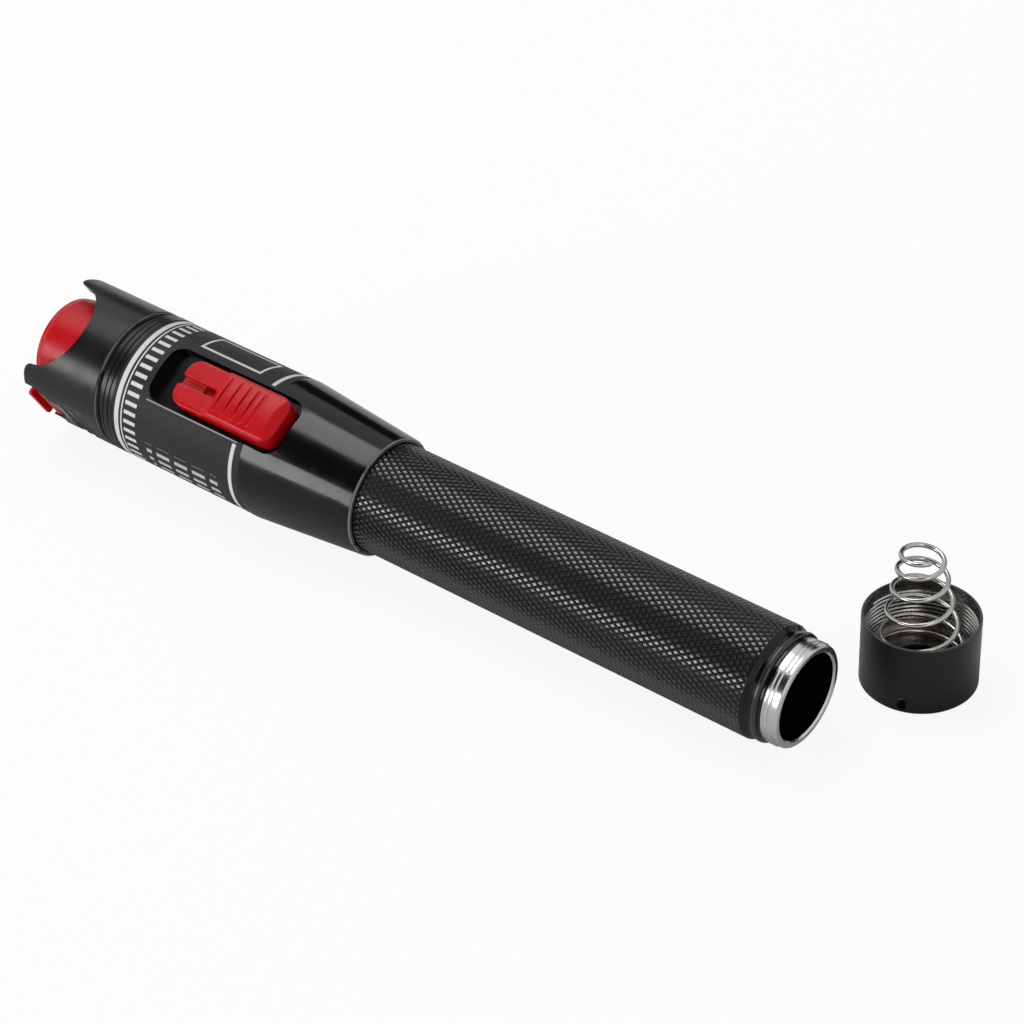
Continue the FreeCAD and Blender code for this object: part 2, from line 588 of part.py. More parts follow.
def board_screws():
    """Two small screws that hold the board to the cradle's ribs."""
    screws = []
    for x, y in screw_places():
        shank = Part.makeCylinder(SCREW_R, SCREW_LENGTH, V(x, y, BOARD_TOP), V(0, 0, -1))
        head = Part.makeCylinder(SCREW_HEAD_R, SCREW_HEAD, V(x, y, BOARD_TOP))
        screws.append(shank.fuse(head))
    return Part.makeCompound(screws)


def driver_chip():
    length, width, height = CHIP
    start = SWITCH_END + CHIP_GAP
    return box(start, start + length, -width / 2, width / 2, BOARD_TOP, BOARD_TOP + height)


def capacitors():
    return Part.makeCompound([Part.makeCylinder(CAPACITOR_R, CAPACITOR_HEIGHT, V(x, CAPACITOR_Y, BOARD_TOP))
                              for x in CAPACITOR_X])


def contact_insulator():
    return tube(INSULATOR_X, RING_X, MODULE_R, RIVET_R + SEAT_GAP)


def front_contact():
    """Brass button for the cell's tip, riveted through the insulator and soldered in the board's notch."""
    return rod(RING_X, RING_X + BUTTON, BUTTON_R).fuse(rod(INSULATOR_X - RIVET_LENGTH, RING_X, RIVET_R))


def ground_ring():
    return tube(RING_X, TUBE_FRONT, MODULE_R, MODULE_R - RING_WALL)


# ---- battery tube --------------------------------------------------------------------------------
def battery_tube():
    """Tube with a front thread in the body, a plain neck with the O-ring groove, and the bare tail thread."""
    spigot_r = CORE_R - SEAT_GAP
    groove = (O_RING_X - O_RING_SECTION, O_RING_X + O_RING_SECTION)
    groove_r = NECK_R - O_RING_SINK
    button_room = TUBE_FRONT + BUTTON
    return turned([(button_room, CELL_BORE), (button_room, CELL_BORE + EDGE), (TUBE_FRONT, CELL_BORE + EDGE),
                   (TUBE_FRONT, spigot_r), (TUBE_SEAT, spigot_r), (TUBE_SEAT, TUBE_R),
                   (KNURL_END, TUBE_R), (KNURL_END + SHOULDER, NECK_R), (groove[0], NECK_R),
                   (groove[0], groove_r), (groove[1], groove_r), (groove[1], NECK_R),
                   (THREAD_START - EDGE, NECK_R), (THREAD_START, THREAD_R), (TAIL_END - RIM_CHAMFER, THREAD_R),
                   (TAIL_END, THREAD_R - RIM_CHAMFER), (TAIL_END, CELL_BORE + EDGE),
                   (TAIL_END - EDGE, CELL_BORE)])


def tail_o_ring():
    middle = NECK_R - O_RING_SINK + O_RING_SECTION
    return Part.makeTorus(middle, O_RING_SECTION - SEAT_GAP / 2, V(O_RING_X, 0, 0), V(1, 0, 0))


# ---- tail cap, in its own frame: its closed end on z = 0 -----------------------------------------
def tail_cap():
    well = CAP_FLOOR - CAP_WELL
    outline = [(0, 0), (CAP_R - CAP_EDGE, 0), (CAP_R, CAP_EDGE), (CAP_R, CAP_HEIGHT - EDGE / 2),
               (CAP_R - EDGE / 2, CAP_HEIGHT), (CAP_MOUTH_BORE, CAP_HEIGHT),
               (CAP_MOUTH_BORE, CAP_HEIGHT - CAP_MOUTH), (CAP_BORE, CAP_HEIGHT - CAP_MOUTH - EDGE),
               (CAP_BORE, CAP_FLOOR), (CAP_WELL_R, CAP_FLOOR), (CAP_WELL_R, well), (CAP_PIT_R, well),
               (CAP_PIT_R, well - CAP_PIT), (0, well - CAP_PIT)]
    corners = [V(r, 0, z) for r, z in outline]
    cap = Part.Face(Part.makePolygon(corners + corners[:1])).revolve(V(0, 0, 0), V(0, 0, 1), 360)
    return cap.cut(lanyard_hole())


def lanyard_hole():
    """Slanting hole through the cap's lower corner, from the side to the underside."""
    turn = math.radians(LANYARD_TURN)
    out = V(math.cos(turn), math.sin(turn), 0)
    slant = (out + V(0, 0, 1)).normalize()
    start = out * CAP_R + V(0, 0, LANYARD_Z) - slant * 2 * LANYARD_Z
    return Part.makeCylinder(LANYARD_R, 3 * LANYARD_Z, start, slant)


def cap_contact():
    """Thin washer under the spring, in the cap's well round the pit."""
    floor = CAP_FLOOR - CAP_WELL
    disc = Part.makeCylinder(WASHER_R, WASHER, V(0, 0, floor))
    return disc.cut(Part.makeCylinder(CAP_PIT_R, WASHER, V(0, 0, floor)))


def tail_spring():
    """Conical battery spring: its wide foot lies on the washer, and its last turn is nearly flat."""
    low = CAP_FLOOR - CAP_WELL + WASHER + SPRING_WIRE
    rise = SPRING_HEIGHT - 2 * SPRING_WIRE
    count = 2 * round(SPRING_TURNS * SPRING_ARCS)
    lean_x = SPRING_LEAN * math.cos(math.radians(SPRING_LEAN_TURN))
    lean_y = SPRING_LEAN * math.sin(math.radians(SPRING_LEAN_TURN))
    points = []
    for k in range(count + 1):
        along = k / count
        turn = 2 * math.pi * SPRING_TURNS * along + math.radians(SPRING_START)
        radius = SPRING_TOP_R + (SPRING_BASE_R - SPRING_TOP_R) * (1 - along) ** SPRING_TAPER
        up = low + rise * (1 - (1 - along ** SPRING_FOOT_EASE) ** SPRING_TOP_EASE)
        points.append(V(radius * math.cos(turn) + lean_x * along,
                        radius * math.sin(turn) + lean_y * along, up))
    arcs = [Part.Arc(*points[k:k + 3]).toShape() for k in range(0, count, 2)]
    section = Part.Wire(Part.makeCircle(SPRING_WIRE, points[0], arcs[0].tangentAt(arcs[0].FirstParameter)))
    return Part.Wire(arcs).makePipeShell([section], True, True, 1)


# ---- the whole part ------------------------------------------------------------------------------
PEN = {
    "head_shell": head_shell, "hinge_pin": hinge_pin, "port_body": port_body, "port_nut": port_nut,
    "ceramic_sleeve": ceramic_sleeve, "laser_barrel": laser_barrel, "lens": lens, "lens_ring": lens_ring,
    "laser_diode": laser_diode, "body_shell": body_shell, "label_wrap": label_wrap,
    "module_carrier": module_carrier, "circuit_board": circuit_board, "board_screws": board_screws,
    "switch_block": switch_block, "driver_chip": driver_chip, "capacitors": capacitors,
    "contact_insulator": contact_insulator, "front_contact": front_contact, "ground_ring": ground_ring,
    "battery_tube": battery_tube, "tail_o_ring": tail_o_ring, "switch_slider": switch_slider,
    "switch_lever": switch_lever, "dust_lid": dust_lid, "lid_seal": lid_seal,
}
CAP = {"tail_cap": tail_cap, "cap_contact": cap_contact, "tail_spring": tail_spring}


def laid(shape):
    """Turn a shape from the pen's frame to how the pen lies, with its lowest edge at z = 0."""
    shape.rotate(V(0, 0, 0), V(1, 0, 0), PEN_ROLL)
    shape.rotate(V(0, 0, 0), V(0, 1, 0), math.degrees(TILT))
    shape.translate(V(0, 0, BODY_R * math.cos(TILT) + CONE_START * math.sin(TILT)))
    return shape


def stood(shape):
    """Stand a piece of the cap beside the pen."""
    shape.translate(V(CAP_X, CAP_Y, 0))
    return shape


def build():
    shapes = {name: laid(make()) for name, make in PEN.items()}
    shapes.update({name: stood(make()) for name, make in CAP.items()})
    room = Part.makeCompound(list(shapes.values())).optimalBoundingBox()
    shift = V(-(room.XMin + room.XMax) / 2, -(room.YMin + room.YMax) / 2, 0)
    for shape in shapes.values():
        shape.translate(shift)
    return shapes, shift


if __name__ == "__main__":
    os.makedirs("parts", exist_ok=True)
    for name, shape in build()[0].items():
        shape.exportStep(f"parts/{name}.step")
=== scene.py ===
# %% [markdown]
# # A visual fault locator, dressed for its portrait
# The tool is a pen that sends red light down an optical fibre, so that a break glows. Its solids come from
# the CAD model as a fixed frame. This lesson gives them finishes, and builds again the pieces whose detail a
# CAD solid leaves plain: the knurled grip, the threads, the printed label and the softened edges.

# %% Load the frame
import json
import math

import bpy
from mathutils import Matrix, Vector


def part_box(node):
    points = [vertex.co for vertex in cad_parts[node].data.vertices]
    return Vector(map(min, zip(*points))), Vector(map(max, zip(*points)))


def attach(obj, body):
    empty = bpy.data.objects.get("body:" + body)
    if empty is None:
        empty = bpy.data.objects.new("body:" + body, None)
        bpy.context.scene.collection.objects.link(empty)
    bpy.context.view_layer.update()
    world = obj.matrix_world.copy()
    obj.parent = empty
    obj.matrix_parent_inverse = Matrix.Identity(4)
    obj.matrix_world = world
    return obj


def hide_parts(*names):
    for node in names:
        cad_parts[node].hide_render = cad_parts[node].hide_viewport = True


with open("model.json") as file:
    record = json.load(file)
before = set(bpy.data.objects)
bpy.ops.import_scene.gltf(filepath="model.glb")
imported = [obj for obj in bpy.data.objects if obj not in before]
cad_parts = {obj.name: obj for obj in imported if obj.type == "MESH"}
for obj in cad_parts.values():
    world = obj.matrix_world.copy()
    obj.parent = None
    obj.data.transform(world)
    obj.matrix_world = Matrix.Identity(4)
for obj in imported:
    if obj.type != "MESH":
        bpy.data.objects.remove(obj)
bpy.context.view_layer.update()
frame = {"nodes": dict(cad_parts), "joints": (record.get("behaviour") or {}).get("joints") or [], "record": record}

# %% [markdown]
# The pen lies tilted on the floor, so its pieces are easier to model in the pen's own frame: millimetres, X
# along the pen from its mouth, and Z out through the switch. Three facts in the record give that frame: where
# the cell bore opens, which way it points, and the line of the lid's hinge. One matrix then lays a finished
# piece where it belongs, and its inverse brings a copy of a CAD node back to be worked on. The cap stands
# beside the pen, and its own matrix turns X straight up, so that one lathe serves both.

# %% The pen's frame and the cap's
BORE_MOUTH = 161.1          # the cell bore opens this far from the pen's mouth, mm
mounts = {m["name"]: m for m in frame["record"]["mounts"]}
hinge = next(j for j in frame["joints"] if j["name"] == "lid_hinge")
along = Vector(mounts["cell_bore"]["axis"]).normalized()
upward = Vector(hinge["axis"])
upward = (upward - along * upward.dot(along)).normalized()
sideways = upward.cross(along)
mouth = Vector(mounts["cell_bore"]["pos_m"]) - along * BORE_MOUTH / 1000
PEN = Matrix((along, sideways, upward)).transposed().to_4x4()
PEN.translation = mouth
PEN = PEN @ Matrix.Scale(0.001, 4)
low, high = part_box("tail_cap")
CAP = (Matrix.Translation(((low.x + high.x) / 2, (low.y + high.y) / 2, low.z))
       @ Matrix.Rotation(math.radians(-90), 4, "Y") @ Matrix.Scale(0.001, 4))
print("mouth", [round(c * 1000, 2) for c in mouth], "cap", [round(c * 1000, 2) for c in CAP.translation])

# %% [markdown]
# ## Helpers for everything below
# Materials, the world and shared effects are all trees of nodes, so a few helpers add a node, do arithmetic,
# mix two colours, stretch a range and combine masks. An operator acts on all that is selected, so each step
# starts from nothing selected, with edit mode set to work by vertices.

# %% Helpers for node trees
def add(tree, kind, inputs=None, **settings):
    """Add one shader node: settings are its options, inputs its values or the sockets that feed it."""
    made = tree.nodes.new("ShaderNode" + kind)
    for name, value in settings.items():
        setattr(made, name, value)
    for slot, value in (inputs or {}).items():
        if isinstance(value, bpy.types.NodeSocket):
            tree.links.new(value, made.inputs[slot])
        else:
            made.inputs[slot].default_value = value
    return made


def calc(tree, operation, *values, clamp=False):
    """Arithmetic on numbers or sockets."""
    made = add(tree, "Math", dict(enumerate(values)), operation=operation, use_clamp=clamp)
    return made.outputs[0]


def blend(tree, mask, first, second):
    """Mix two colours by a mask."""
    made = add(tree, "Mix", {0: mask, 6: first, 7: second}, data_type="RGBA")
    return made.outputs[2]


def level(tree, value, low_end, high_end):
    """Stretch a 0 to 1 value over a new range."""
    return add(tree, "MapRange", {"Value": value, "To Min": low_end, "To Max": high_end}).outputs["Result"]


def union(tree, masks):
    """The highest of several masks at each place."""
    total = masks[0]
    for mask in masks[1:]:
        total = calc(tree, "MAXIMUM", total, mask)
    return total


def both(tree, *masks):
    """What several masks have in common."""
    total = masks[0]
    for mask in masks[1:]:
        total = calc(tree, "MULTIPLY", total, mask)
    return total


def leave_out(tree, mask):
    """Turn a mask inside out."""
    return calc(tree, "SUBTRACT", 1, mask)


# %% Start from nothing selected
def deselect():
    """Leave edit mode, select nothing, and let the next piece be edited by its vertices."""
    if bpy.context.object and bpy.context.object.mode != "OBJECT":
        bpy.ops.object.mode_set(mode="OBJECT")
    bpy.context.tool_settings.mesh_select_mode = (True, False, False)
    bpy.ops.object.select_all(action="DESELECT")


# %% [markdown]
# ## Lights, floor and camera
# A small dark object on white is lit with a few large soft sources far away, so that each one shows as a
# clean band in the gloss. Each stands on a circle round the pen and lies along it, so that its band runs
# straight down the pen. Its angle is counted from straight up, towards the camera. Brightness is given per
# area, so a lamp can grow or shrink without its reflection getting paler or brighter.

# %% Soft lights on a circle round the pen
AIM = Vector((0, -0.004, 0.012))        # middle of the circle, m
LAMP_REACH = 1.5


def round_the_pen(angle, reach, along_x):
    """A place on a circle round the pen, turned so that X lies along the pen and Z looks outwards."""
    return (Matrix.Translation(AIM) @ Matrix.Rotation(math.radians(angle), 4, "X")
            @ Matrix.Translation((along_x, 0, reach)))


def softbox(name, angle, along_x, length, height, radiance):
    """A rectangular lamp that shines at the pen."""
    bpy.ops.object.light_add(type="AREA")
    lamp = bpy.context.object
    lamp.name = name
    lamp.matrix_world = round_the_pen(angle, LAMP_REACH, along_x)
    lamp.data.shape = "RECTANGLE"
    lamp.data.size = length
    lamp.data.size_y = height
    lamp.data.energy = radiance * math.pi * length * height
    print(name, round(lamp.data.energy, 1), "W")


softbox("strip_front", angle=77, along_x=-0.95, length=0.9, height=0.56, radiance=10.0)
softbox("overhead", angle=-4, along_x=-0.68, length=0.65, height=1.05, radiance=5.6)
softbox("fill_right", angle=35, along_x=1.3, length=0.9, height=0.9, radiance=1.6)

# %% [markdown]
# Polished metal looks like metal only when it has something dark to reflect. A studio hangs black cards, or
# flags, out of view for that. One long card fills the gap between the two lights and makes the black band
# along the pen; another stands behind for the cap and its spring. They are seen by reflections alone, so
# they take no light away.

# %% Black flags
FLAG_REACH = 1.3
FELT = bpy.data.materials.new("felt")
FELT.use_nodes = True
felt = FELT.node_tree.nodes["Principled BSDF"].inputs
felt["Base Color"].default_value = (0.004, 0.004, 0.004, 1)
felt["Specular IOR Level"].default_value = 0


def flag(name, angle, along_x, length, height):
    """A black card that only reflections see."""
    deselect()
    bpy.ops.mesh.primitive_plane_add(size=1)
    card = bpy.context.object
    card.name = name
    card.matrix_world = round_the_pen(angle, FLAG_REACH, along_x) @ Matrix.Diagonal((length, height, 1, 1))
    card.visible_camera = card.visible_diffuse = card.visible_shadow = False
    card.visible_transmission = False
    card.data.materials.append(FELT)
    print(name, length, "by", height, "m")


flag("flag_front", angle=39, along_x=-0.35, length=2.2, height=1.1)
flag("flag_back", angle=-70, along_x=-0.2, length=2.2, height=0.6)

# %% [markdown]
# The background is white without more light on the pen. The world is at full strength only to the camera,
# in reflections and through glass, and dimmer as a light. The floor is white to the camera as well, apart
# from a tenth of its own shading, which keeps the pen's soft shadow.

# %% The white world
WORLD_LIGHT = 0.35
scene = bpy.context.scene
world = bpy.data.worlds.new("studio")
scene.world = world
world.use_nodes = True
tree = world.node_tree
rays = add(tree, "LightPath").outputs
seen = union(tree, [rays["Is Camera Ray"], rays["Is Glossy Ray"], rays["Is Transmission Ray"]])
background = tree.nodes["Background"]
background.inputs["Color"].default_value = (1, 1, 1, 1)
tree.links.new(level(tree, seen, WORLD_LIGHT, 1.0), background.inputs["Strength"])
print("world lights the pen at", WORLD_LIGHT)

# %% The floor
FLOOR_DROP = 0.0002                     # just under the pen, so that the two share no plane, m
FLOOR_GLOW = 0.9
deselect()
bpy.ops.mesh.primitive_plane_add(size=8, location=(0, 0, -FLOOR_DROP))
floor = bpy.context.object
floor.name = "floor"
paper = bpy.data.materials.new("paper")
paper.use_nodes = True
tree = paper.node_tree
tree.nodes.clear()
rays = add(tree, "LightPath").outputs
lit = add(tree, "BsdfDiffuse", {"Color": (0.93, 0.93, 0.93, 1)})
glow = add(tree, "Emission")
mixed = add(tree, "MixShader", {0: calc(tree, "MULTIPLY", rays["Is Camera Ray"], FLOOR_GLOW),
                                1: lit.outputs[0], 2: glow.outputs[0]})
add(tree, "OutputMaterial", {"Surface": mixed.outputs[0]})
floor.data.materials.append(paper)
print("floor", [round(side, 1) for side in floor.dimensions])

# %% [markdown]
# The camera looks down on the pen from beyond its tail and to one side. Its lens is long, so that the far end
# of the pen is nearly as wide in the view as the near one. Its place is given from the pen's mouth.

# %% The camera
EYE_FROM_MOUTH = Vector((0.38803, -0.34917, 0.33220))     # m
HEADING, TILT, ROLL = 39.33, 54.17, -1.82                 # degrees
LENS = 118
bpy.ops.object.camera_add(location=mouth + EYE_FROM_MOUTH)
camera = bpy.context.object
camera.matrix_world = (Matrix.Translation(camera.location) @ Matrix.Rotation(math.radians(HEADING), 4, "Z")
                       @ Matrix.Rotation(math.radians(TILT), 4, "X")
                       @ Matrix.Rotation(math.radians(ROLL), 4, "Z"))
camera.data.lens = LENS
camera.data.sensor_width = 36
camera.data.clip_start = 0.01
scene.camera = camera
scene.view_settings.view_transform = "Standard"
print("camera", round(EYE_FROM_MOUTH.length, 3), "m from the mouth, lens", LENS)

# %% [markdown]
# ## Effects that the finishes share
# Each effect is a node group with named inputs, built once and placed in every material that needs it. They
# all work in the pen's millimetres, so a pitch or a ring can be given as a real size. The first turns a point
# into three numbers that suit a turned part: how far along it is, how far round from the switch, and its
# radius. The second makes a soft-edged band of any of those numbers, which is how stripes, edges and windows
# are drawn without an image.

# %% Build a group, and place one
def new_group(name, takes, gives):
    """A shader group; takes is a list of (name, type, start value) and gives of (name, type)."""
    made = bpy.data.node_groups.new(name, "ShaderNodeTree")
    for label, kind, value in takes:
        socket = made.interface.new_socket(name=label, in_out="INPUT", socket_type="NodeSocket" + kind)
        socket.default_value = value
    for label, kind in gives:
        made.interface.new_socket(name=label, in_out="OUTPUT", socket_type="NodeSocket" + kind)
    return made, made.nodes.new("NodeGroupInput").outputs, made.nodes.new("NodeGroupOutput").inputs


def place(tree, group, **inputs):
    """Put a group in a tree and give back its outputs; an underscore stands for a space in a label."""
    values = {label.replace("_", " "): value for label, value in inputs.items()}
    return add(tree, "Group", values, node_tree=group).outputs


# %% Along, round and out
WHERE, given, result = new_group("place_on_pen", [("Point", "Vector", (0, 0, 0))],
                                 [("Along", "Float"), ("Angle", "Float"), ("Radius", "Float")])
parts = add(WHERE, "SeparateXYZ", {0: given["Point"]}).outputs
WHERE.links.new(parts["X"], result["Along"])
near_side = calc(WHERE, "MULTIPLY", parts["Y"], -1)
WHERE.links.new(calc(WHERE, "DEGREES", calc(WHERE, "ARCTAN2", near_side, parts["Z"])), result["Angle"])
squares = calc(WHERE, "ADD", calc(WHERE, "POWER", calc(WHERE, "ABSOLUTE", parts["Y"]), 2),
               calc(WHERE, "POWER", calc(WHERE, "ABSOLUTE", parts["Z"]), 2))
WHERE.links.new(calc(WHERE, "SQRT", squares), result["Radius"])

# %% A band of any value
BAND, given, result = new_group("band", [("Value", "Float", 0), ("Centre", "Float", 0), ("Half", "Float", 1),
                                         ("Soft", "Float", 0.1)], [("Mask", "Float")])
away = calc(BAND, "ABSOLUTE", calc(BAND, "SUBTRACT", given["Value"], given["Centre"]))
inside = calc(BAND, "DIVIDE", calc(BAND, "SUBTRACT", given["Half"], away), given["Soft"])
BAND.links.new(calc(BAND, "ADD", inside, 0.5, clamp=True), result["Mask"])

# %% [markdown]
# No finish is one flat colour. The grain group gives fine pits for a bump and a slow mottle for colour and
# gloss. The lathe group gives the fine rings that a turning tool leaves, as noise in one dimension. The last
# group breaks a mask up, so that wear and finger marks come in patches.

# %% Grain, lathe rings and patches
GRAIN, given, result = new_group("grain", [("Point", "Vector", (0, 0, 0)), ("Size", "Float", 0.3),
                                           ("Mottle Size", "Float", 6)],
                                 [("Pits", "Float"), ("Mottle", "Float")])
fine = add(GRAIN, "TexNoise", {"Vector": given["Point"], "Scale": calc(GRAIN, "DIVIDE", 1, given["Size"]),
                               "Detail": 3, "Roughness": 0.6})
slow = add(GRAIN, "TexNoise", {"Vector": given["Point"], "Detail": 4, "Roughness": 0.6,
                               "Scale": calc(GRAIN, "DIVIDE", 1, given["Mottle Size"])})
GRAIN.links.new(fine.outputs[0], result["Pits"])
GRAIN.links.new(slow.outputs[0], result["Mottle"])

LATHE, given, result = new_group("lathe_rings", [("Along", "Float", 0), ("Pitch", "Float", 0.2)],
                                 [("Height", "Float")])
rings = add(LATHE, "TexNoise", {"W": calc(LATHE, "DIVIDE", given["Along"], given["Pitch"]), "Scale": 1,
                                "Detail": 2}, noise_dimensions="1D")
LATHE.links.new(rings.outputs[0], result["Height"])

TOUCH, given, result = new_group("patches", [("Point", "Vector", (0, 0, 0)), ("Size", "Float", 3),
                                             ("Cover", "Float", 0.5), ("Mask", "Float", 1)],
                                 [("Mask", "Float")])
spots = add(TOUCH, "TexNoise", {"Vector": given["Point"], "Detail": 5, "Roughness": 0.65,
                                "Scale": calc(TOUCH, "DIVIDE", 1, given["Size"])})
over = calc(TOUCH, "MULTIPLY", calc(TOUCH, "ADD", calc(TOUCH, "SUBTRACT", spots.outputs[0], 0.75),
                                    calc(TOUCH, "MULTIPLY", given["Cover"], 0.5)), 8, clamp=True)
TOUCH.links.new(calc(TOUCH, "MULTIPLY", over, given["Mask"]), result["Mask"])
print("shared effects", sorted(g.name for g in bpy.data.node_groups))

# %% [markdown]
# ## The finishes
# A material starts with Object coordinates, which a Mapping node brings into the pen's or the cap's own
# millimetres. What stays the same all over is set on the shader; what changes over the surface is linked.

# %% Start a material
def start(name, frame_of=PEN, **constants):
    """A new material, its tree and shader, and the point on the surface in the piece's own millimetres."""
    made = bpy.data.materials.new(name)
    made.use_nodes = True
    tree = made.node_tree
    shader = tree.nodes["Principled BSDF"]
    for label, value in constants.items():
        shader.inputs[label.replace("_", " ")].default_value = value
    back = frame_of.inverted()
    point = add(tree, "Mapping", {"Vector": add(tree, "TexCoord").outputs["Object"],
                                  "Location": back.translation, "Rotation": back.to_quaternion().to_euler(),
                                  "Scale": (1000, 1000, 1000)})
    return made, tree, shader.inputs, point.outputs[0]


def join(tree, shader, **links):
    """Link sockets to the shader; an underscore stands for a space in a label."""
    for label, socket in links.items():
        tree.links.new(socket, shader[label.replace("_", " ")])


def relief(tree, height, depth, over=None):
    """A bump of this depth in mm, on top of another if one is given."""
    inputs = {"Height": height, "Distance": depth / 1000, "Strength": 1.0}
    if over is not None:
        inputs["Normal"] = over
    return add(tree, "Bump", inputs).outputs[0]


# %% [markdown]
# ### Black anodised aluminium
# The head and cap are blasted before they are anodised, which leaves a satin charcoal whose highlight is
# broad and a little cloudy. The body is polished first and stays glossy. Both come from one recipe with
# different sizes of grain and gloss, and both show thin pale metal where an edge has been rubbed.

# %% Satin and gloss black
BARE_EDGE = (0.6, 0.6, 0.6, 1)


def anodised(name, dark, pale, gloss, grain_depth, specular, edges, edge_gain=0.25, frame_of=PEN):
    """Black that drifts from dark to pale; edges are the places along the piece where it is rubbed."""
    made, tree, shader, point = start(name, frame_of, Specular_IOR_Level=specular)
    where = place(tree, WHERE, Point=point)
    grain = place(tree, GRAIN, Point=point, Size=0.22, Mottle_Size=5)
    lines = [place(tree, BAND, Value=where["Along"], Centre=at, Half=0.1, Soft=0.15)["Mask"] for at in edges]
    worn = place(tree, TOUCH, Point=point, Size=4, Cover=0.9, Mask=union(tree, lines))
    colour = blend(tree, grain["Mottle"], (*dark, 1), (*pale, 1))
    colour = blend(tree, calc(tree, "MULTIPLY", worn["Mask"], edge_gain), colour, BARE_EDGE)
    smear = place(tree, TOUCH, Point=point, Size=7, Cover=0.55)
    rough = calc(tree, "ADD", level(tree, grain["Mottle"], gloss - 0.04, gloss + 0.05),
                 calc(tree, "MULTIPLY", smear["Mask"], 0.04))
    rings = place(tree, LATHE, Along=where["Along"], Pitch=0.12)
    normal = relief(tree, grain["Pits"], grain_depth)
    normal = relief(tree, rings["Height"], grain_depth / 3, normal)
    join(tree, shader, Base_Color=colour, Roughness=rough, Normal=normal)
    return made


HEAD_BLACK = anodised("charcoal_satin", (0.004, 0.0045, 0.005), (0.009, 0.0095, 0.0105), gloss=0.27,
                      grain_depth=0.004, specular=0.26, edges=(0.05, 17.5))
BODY_BLACK = anodised("polished_black", (0.002, 0.002, 0.0025), (0.005, 0.005, 0.006), gloss=0.14,
                      grain_depth=0.0005, specular=0.24, edges=(18.85, 74.9), edge_gain=0.4)
CAP_BLACK = anodised("cap_satin", (0.005, 0.005, 0.006), (0.010, 0.010, 0.011), gloss=0.34,
                     grain_depth=0.003, specular=0.22, edges=(13.05,), edge_gain=0.12, frame_of=CAP)
print("blacks", [made.name for made in (HEAD_BLACK, BODY_BLACK, CAP_BLACK)])

# %% [markdown]
# ### The grip's black
# The tops of the diamonds are rubbed smooth by hands and packing. The radius tells the tops from the grooves, so
# one mask gives the tops a little more gloss and a slightly paler colour; the paler colour is partly wear and
# partly painted highlight, for the light that the flat tops catch.

# %% Grip black
KNURL_TOP = 10.0
KNURL_FLOOR = 9.72
TOP_WEAR_AND_HIGHLIGHT = (0.018, 0.018, 0.0185, 1)
GRIP_BLACK, tree, shader, point = start("grip_black", Specular_IOR_Level=0.55)
where = place(tree, WHERE, Point=point)
grain = place(tree, GRAIN, Point=point, Size=0.15, Mottle_Size=7)
crest = place(tree, BAND, Value=where["Radius"], Centre=KNURL_TOP, Half=0.07, Soft=0.06)["Mask"]
colour = blend(tree, grain["Mottle"], (0.003, 0.003, 0.003, 1), (0.007, 0.007, 0.007, 1))
# Painted highlight and wear: the tops get a paler colour, partly for the light their flat faces catch.
colour = blend(tree, calc(tree, "MULTIPLY", crest, 0.6), colour, TOP_WEAR_AND_HIGHLIGHT)
rough = calc(tree, "SUBTRACT", level(tree, grain["Mottle"], 0.26, 0.36), calc(tree, "MULTIPLY", crest, 0.10))
join(tree, shader, Base_Color=colour, Roughness=rough, Normal=relief(tree, grain["Pits"], 0.004))
print("diamonds rise", round(KNURL_TOP - KNURL_FLOOR, 2), "mm")

# %% [markdown]
# ### Bare metal
# The tail thread and the inside of the cap are left bare so that they carry current. Turned aluminium is bright,
# with rings from the tool, and duller where it is stained in patches. The spring and the small nickel pieces are
# the same idea with finer marks.

# %% Turned and drawn metals
def bright_metal(name, colour, gloss, ring_pitch, ring_depth, frame_of=PEN, stain=(0.25, 0.22, 0.19),
                 cover=0.35):
    """Turned or drawn metal with tool rings, and a stain that covers part of it."""
    made, tree, shader, point = start(name, frame_of, Metallic=1.0)
    where = place(tree, WHERE, Point=point)
    grain = place(tree, GRAIN, Point=point, Size=0.1, Mottle_Size=3)
    dirt = place(tree, TOUCH, Point=point, Size=1.5, Cover=cover)
    rings = place(tree, LATHE, Along=where["Along"], Pitch=ring_pitch)
    tone = blend(tree, calc(tree, "MULTIPLY", grain["Mottle"], 0.3), (*colour, 1),
                 (*[c * 0.8 for c in colour], 1))
    tone = blend(tree, calc(tree, "MULTIPLY", dirt["Mask"], 0.35), tone, (*stain, 1))
    rough = calc(tree, "ADD", level(tree, grain["Mottle"], gloss - 0.03, gloss + 0.06),
                 calc(tree, "MULTIPLY", dirt["Mask"], 0.15))
    normal = relief(tree, rings["Height"], ring_depth)
    normal = relief(tree, grain["Pits"], 0.001, normal)
    join(tree, shader, Base_Color=tone, Roughness=rough, Normal=normal)
    return made


TAIL_METAL = bright_metal("bare_aluminium", (0.54, 0.54, 0.545), gloss=0.18, ring_pitch=0.10,
                          ring_depth=0.010)
CAP_METAL = bright_metal("cap_aluminium", (0.44, 0.43, 0.42), gloss=0.20, ring_pitch=0.12,
                         ring_depth=0.012, frame_of=CAP)
WIRE = bright_metal("bright_wire", (0.40, 0.39, 0.37), gloss=0.16, ring_pitch=0.3, ring_depth=0.002,
                    frame_of=CAP, cover=0.2)
PIN_STEEL = bright_metal("pin_steel", (0.70, 0.69, 0.67), gloss=0.22, ring_pitch=0.3, ring_depth=0.002)
NICKEL = bright_metal("nickel_plate", (0.74, 0.71, 0.66), gloss=0.2, ring_pitch=0.08, ring_depth=0.004)
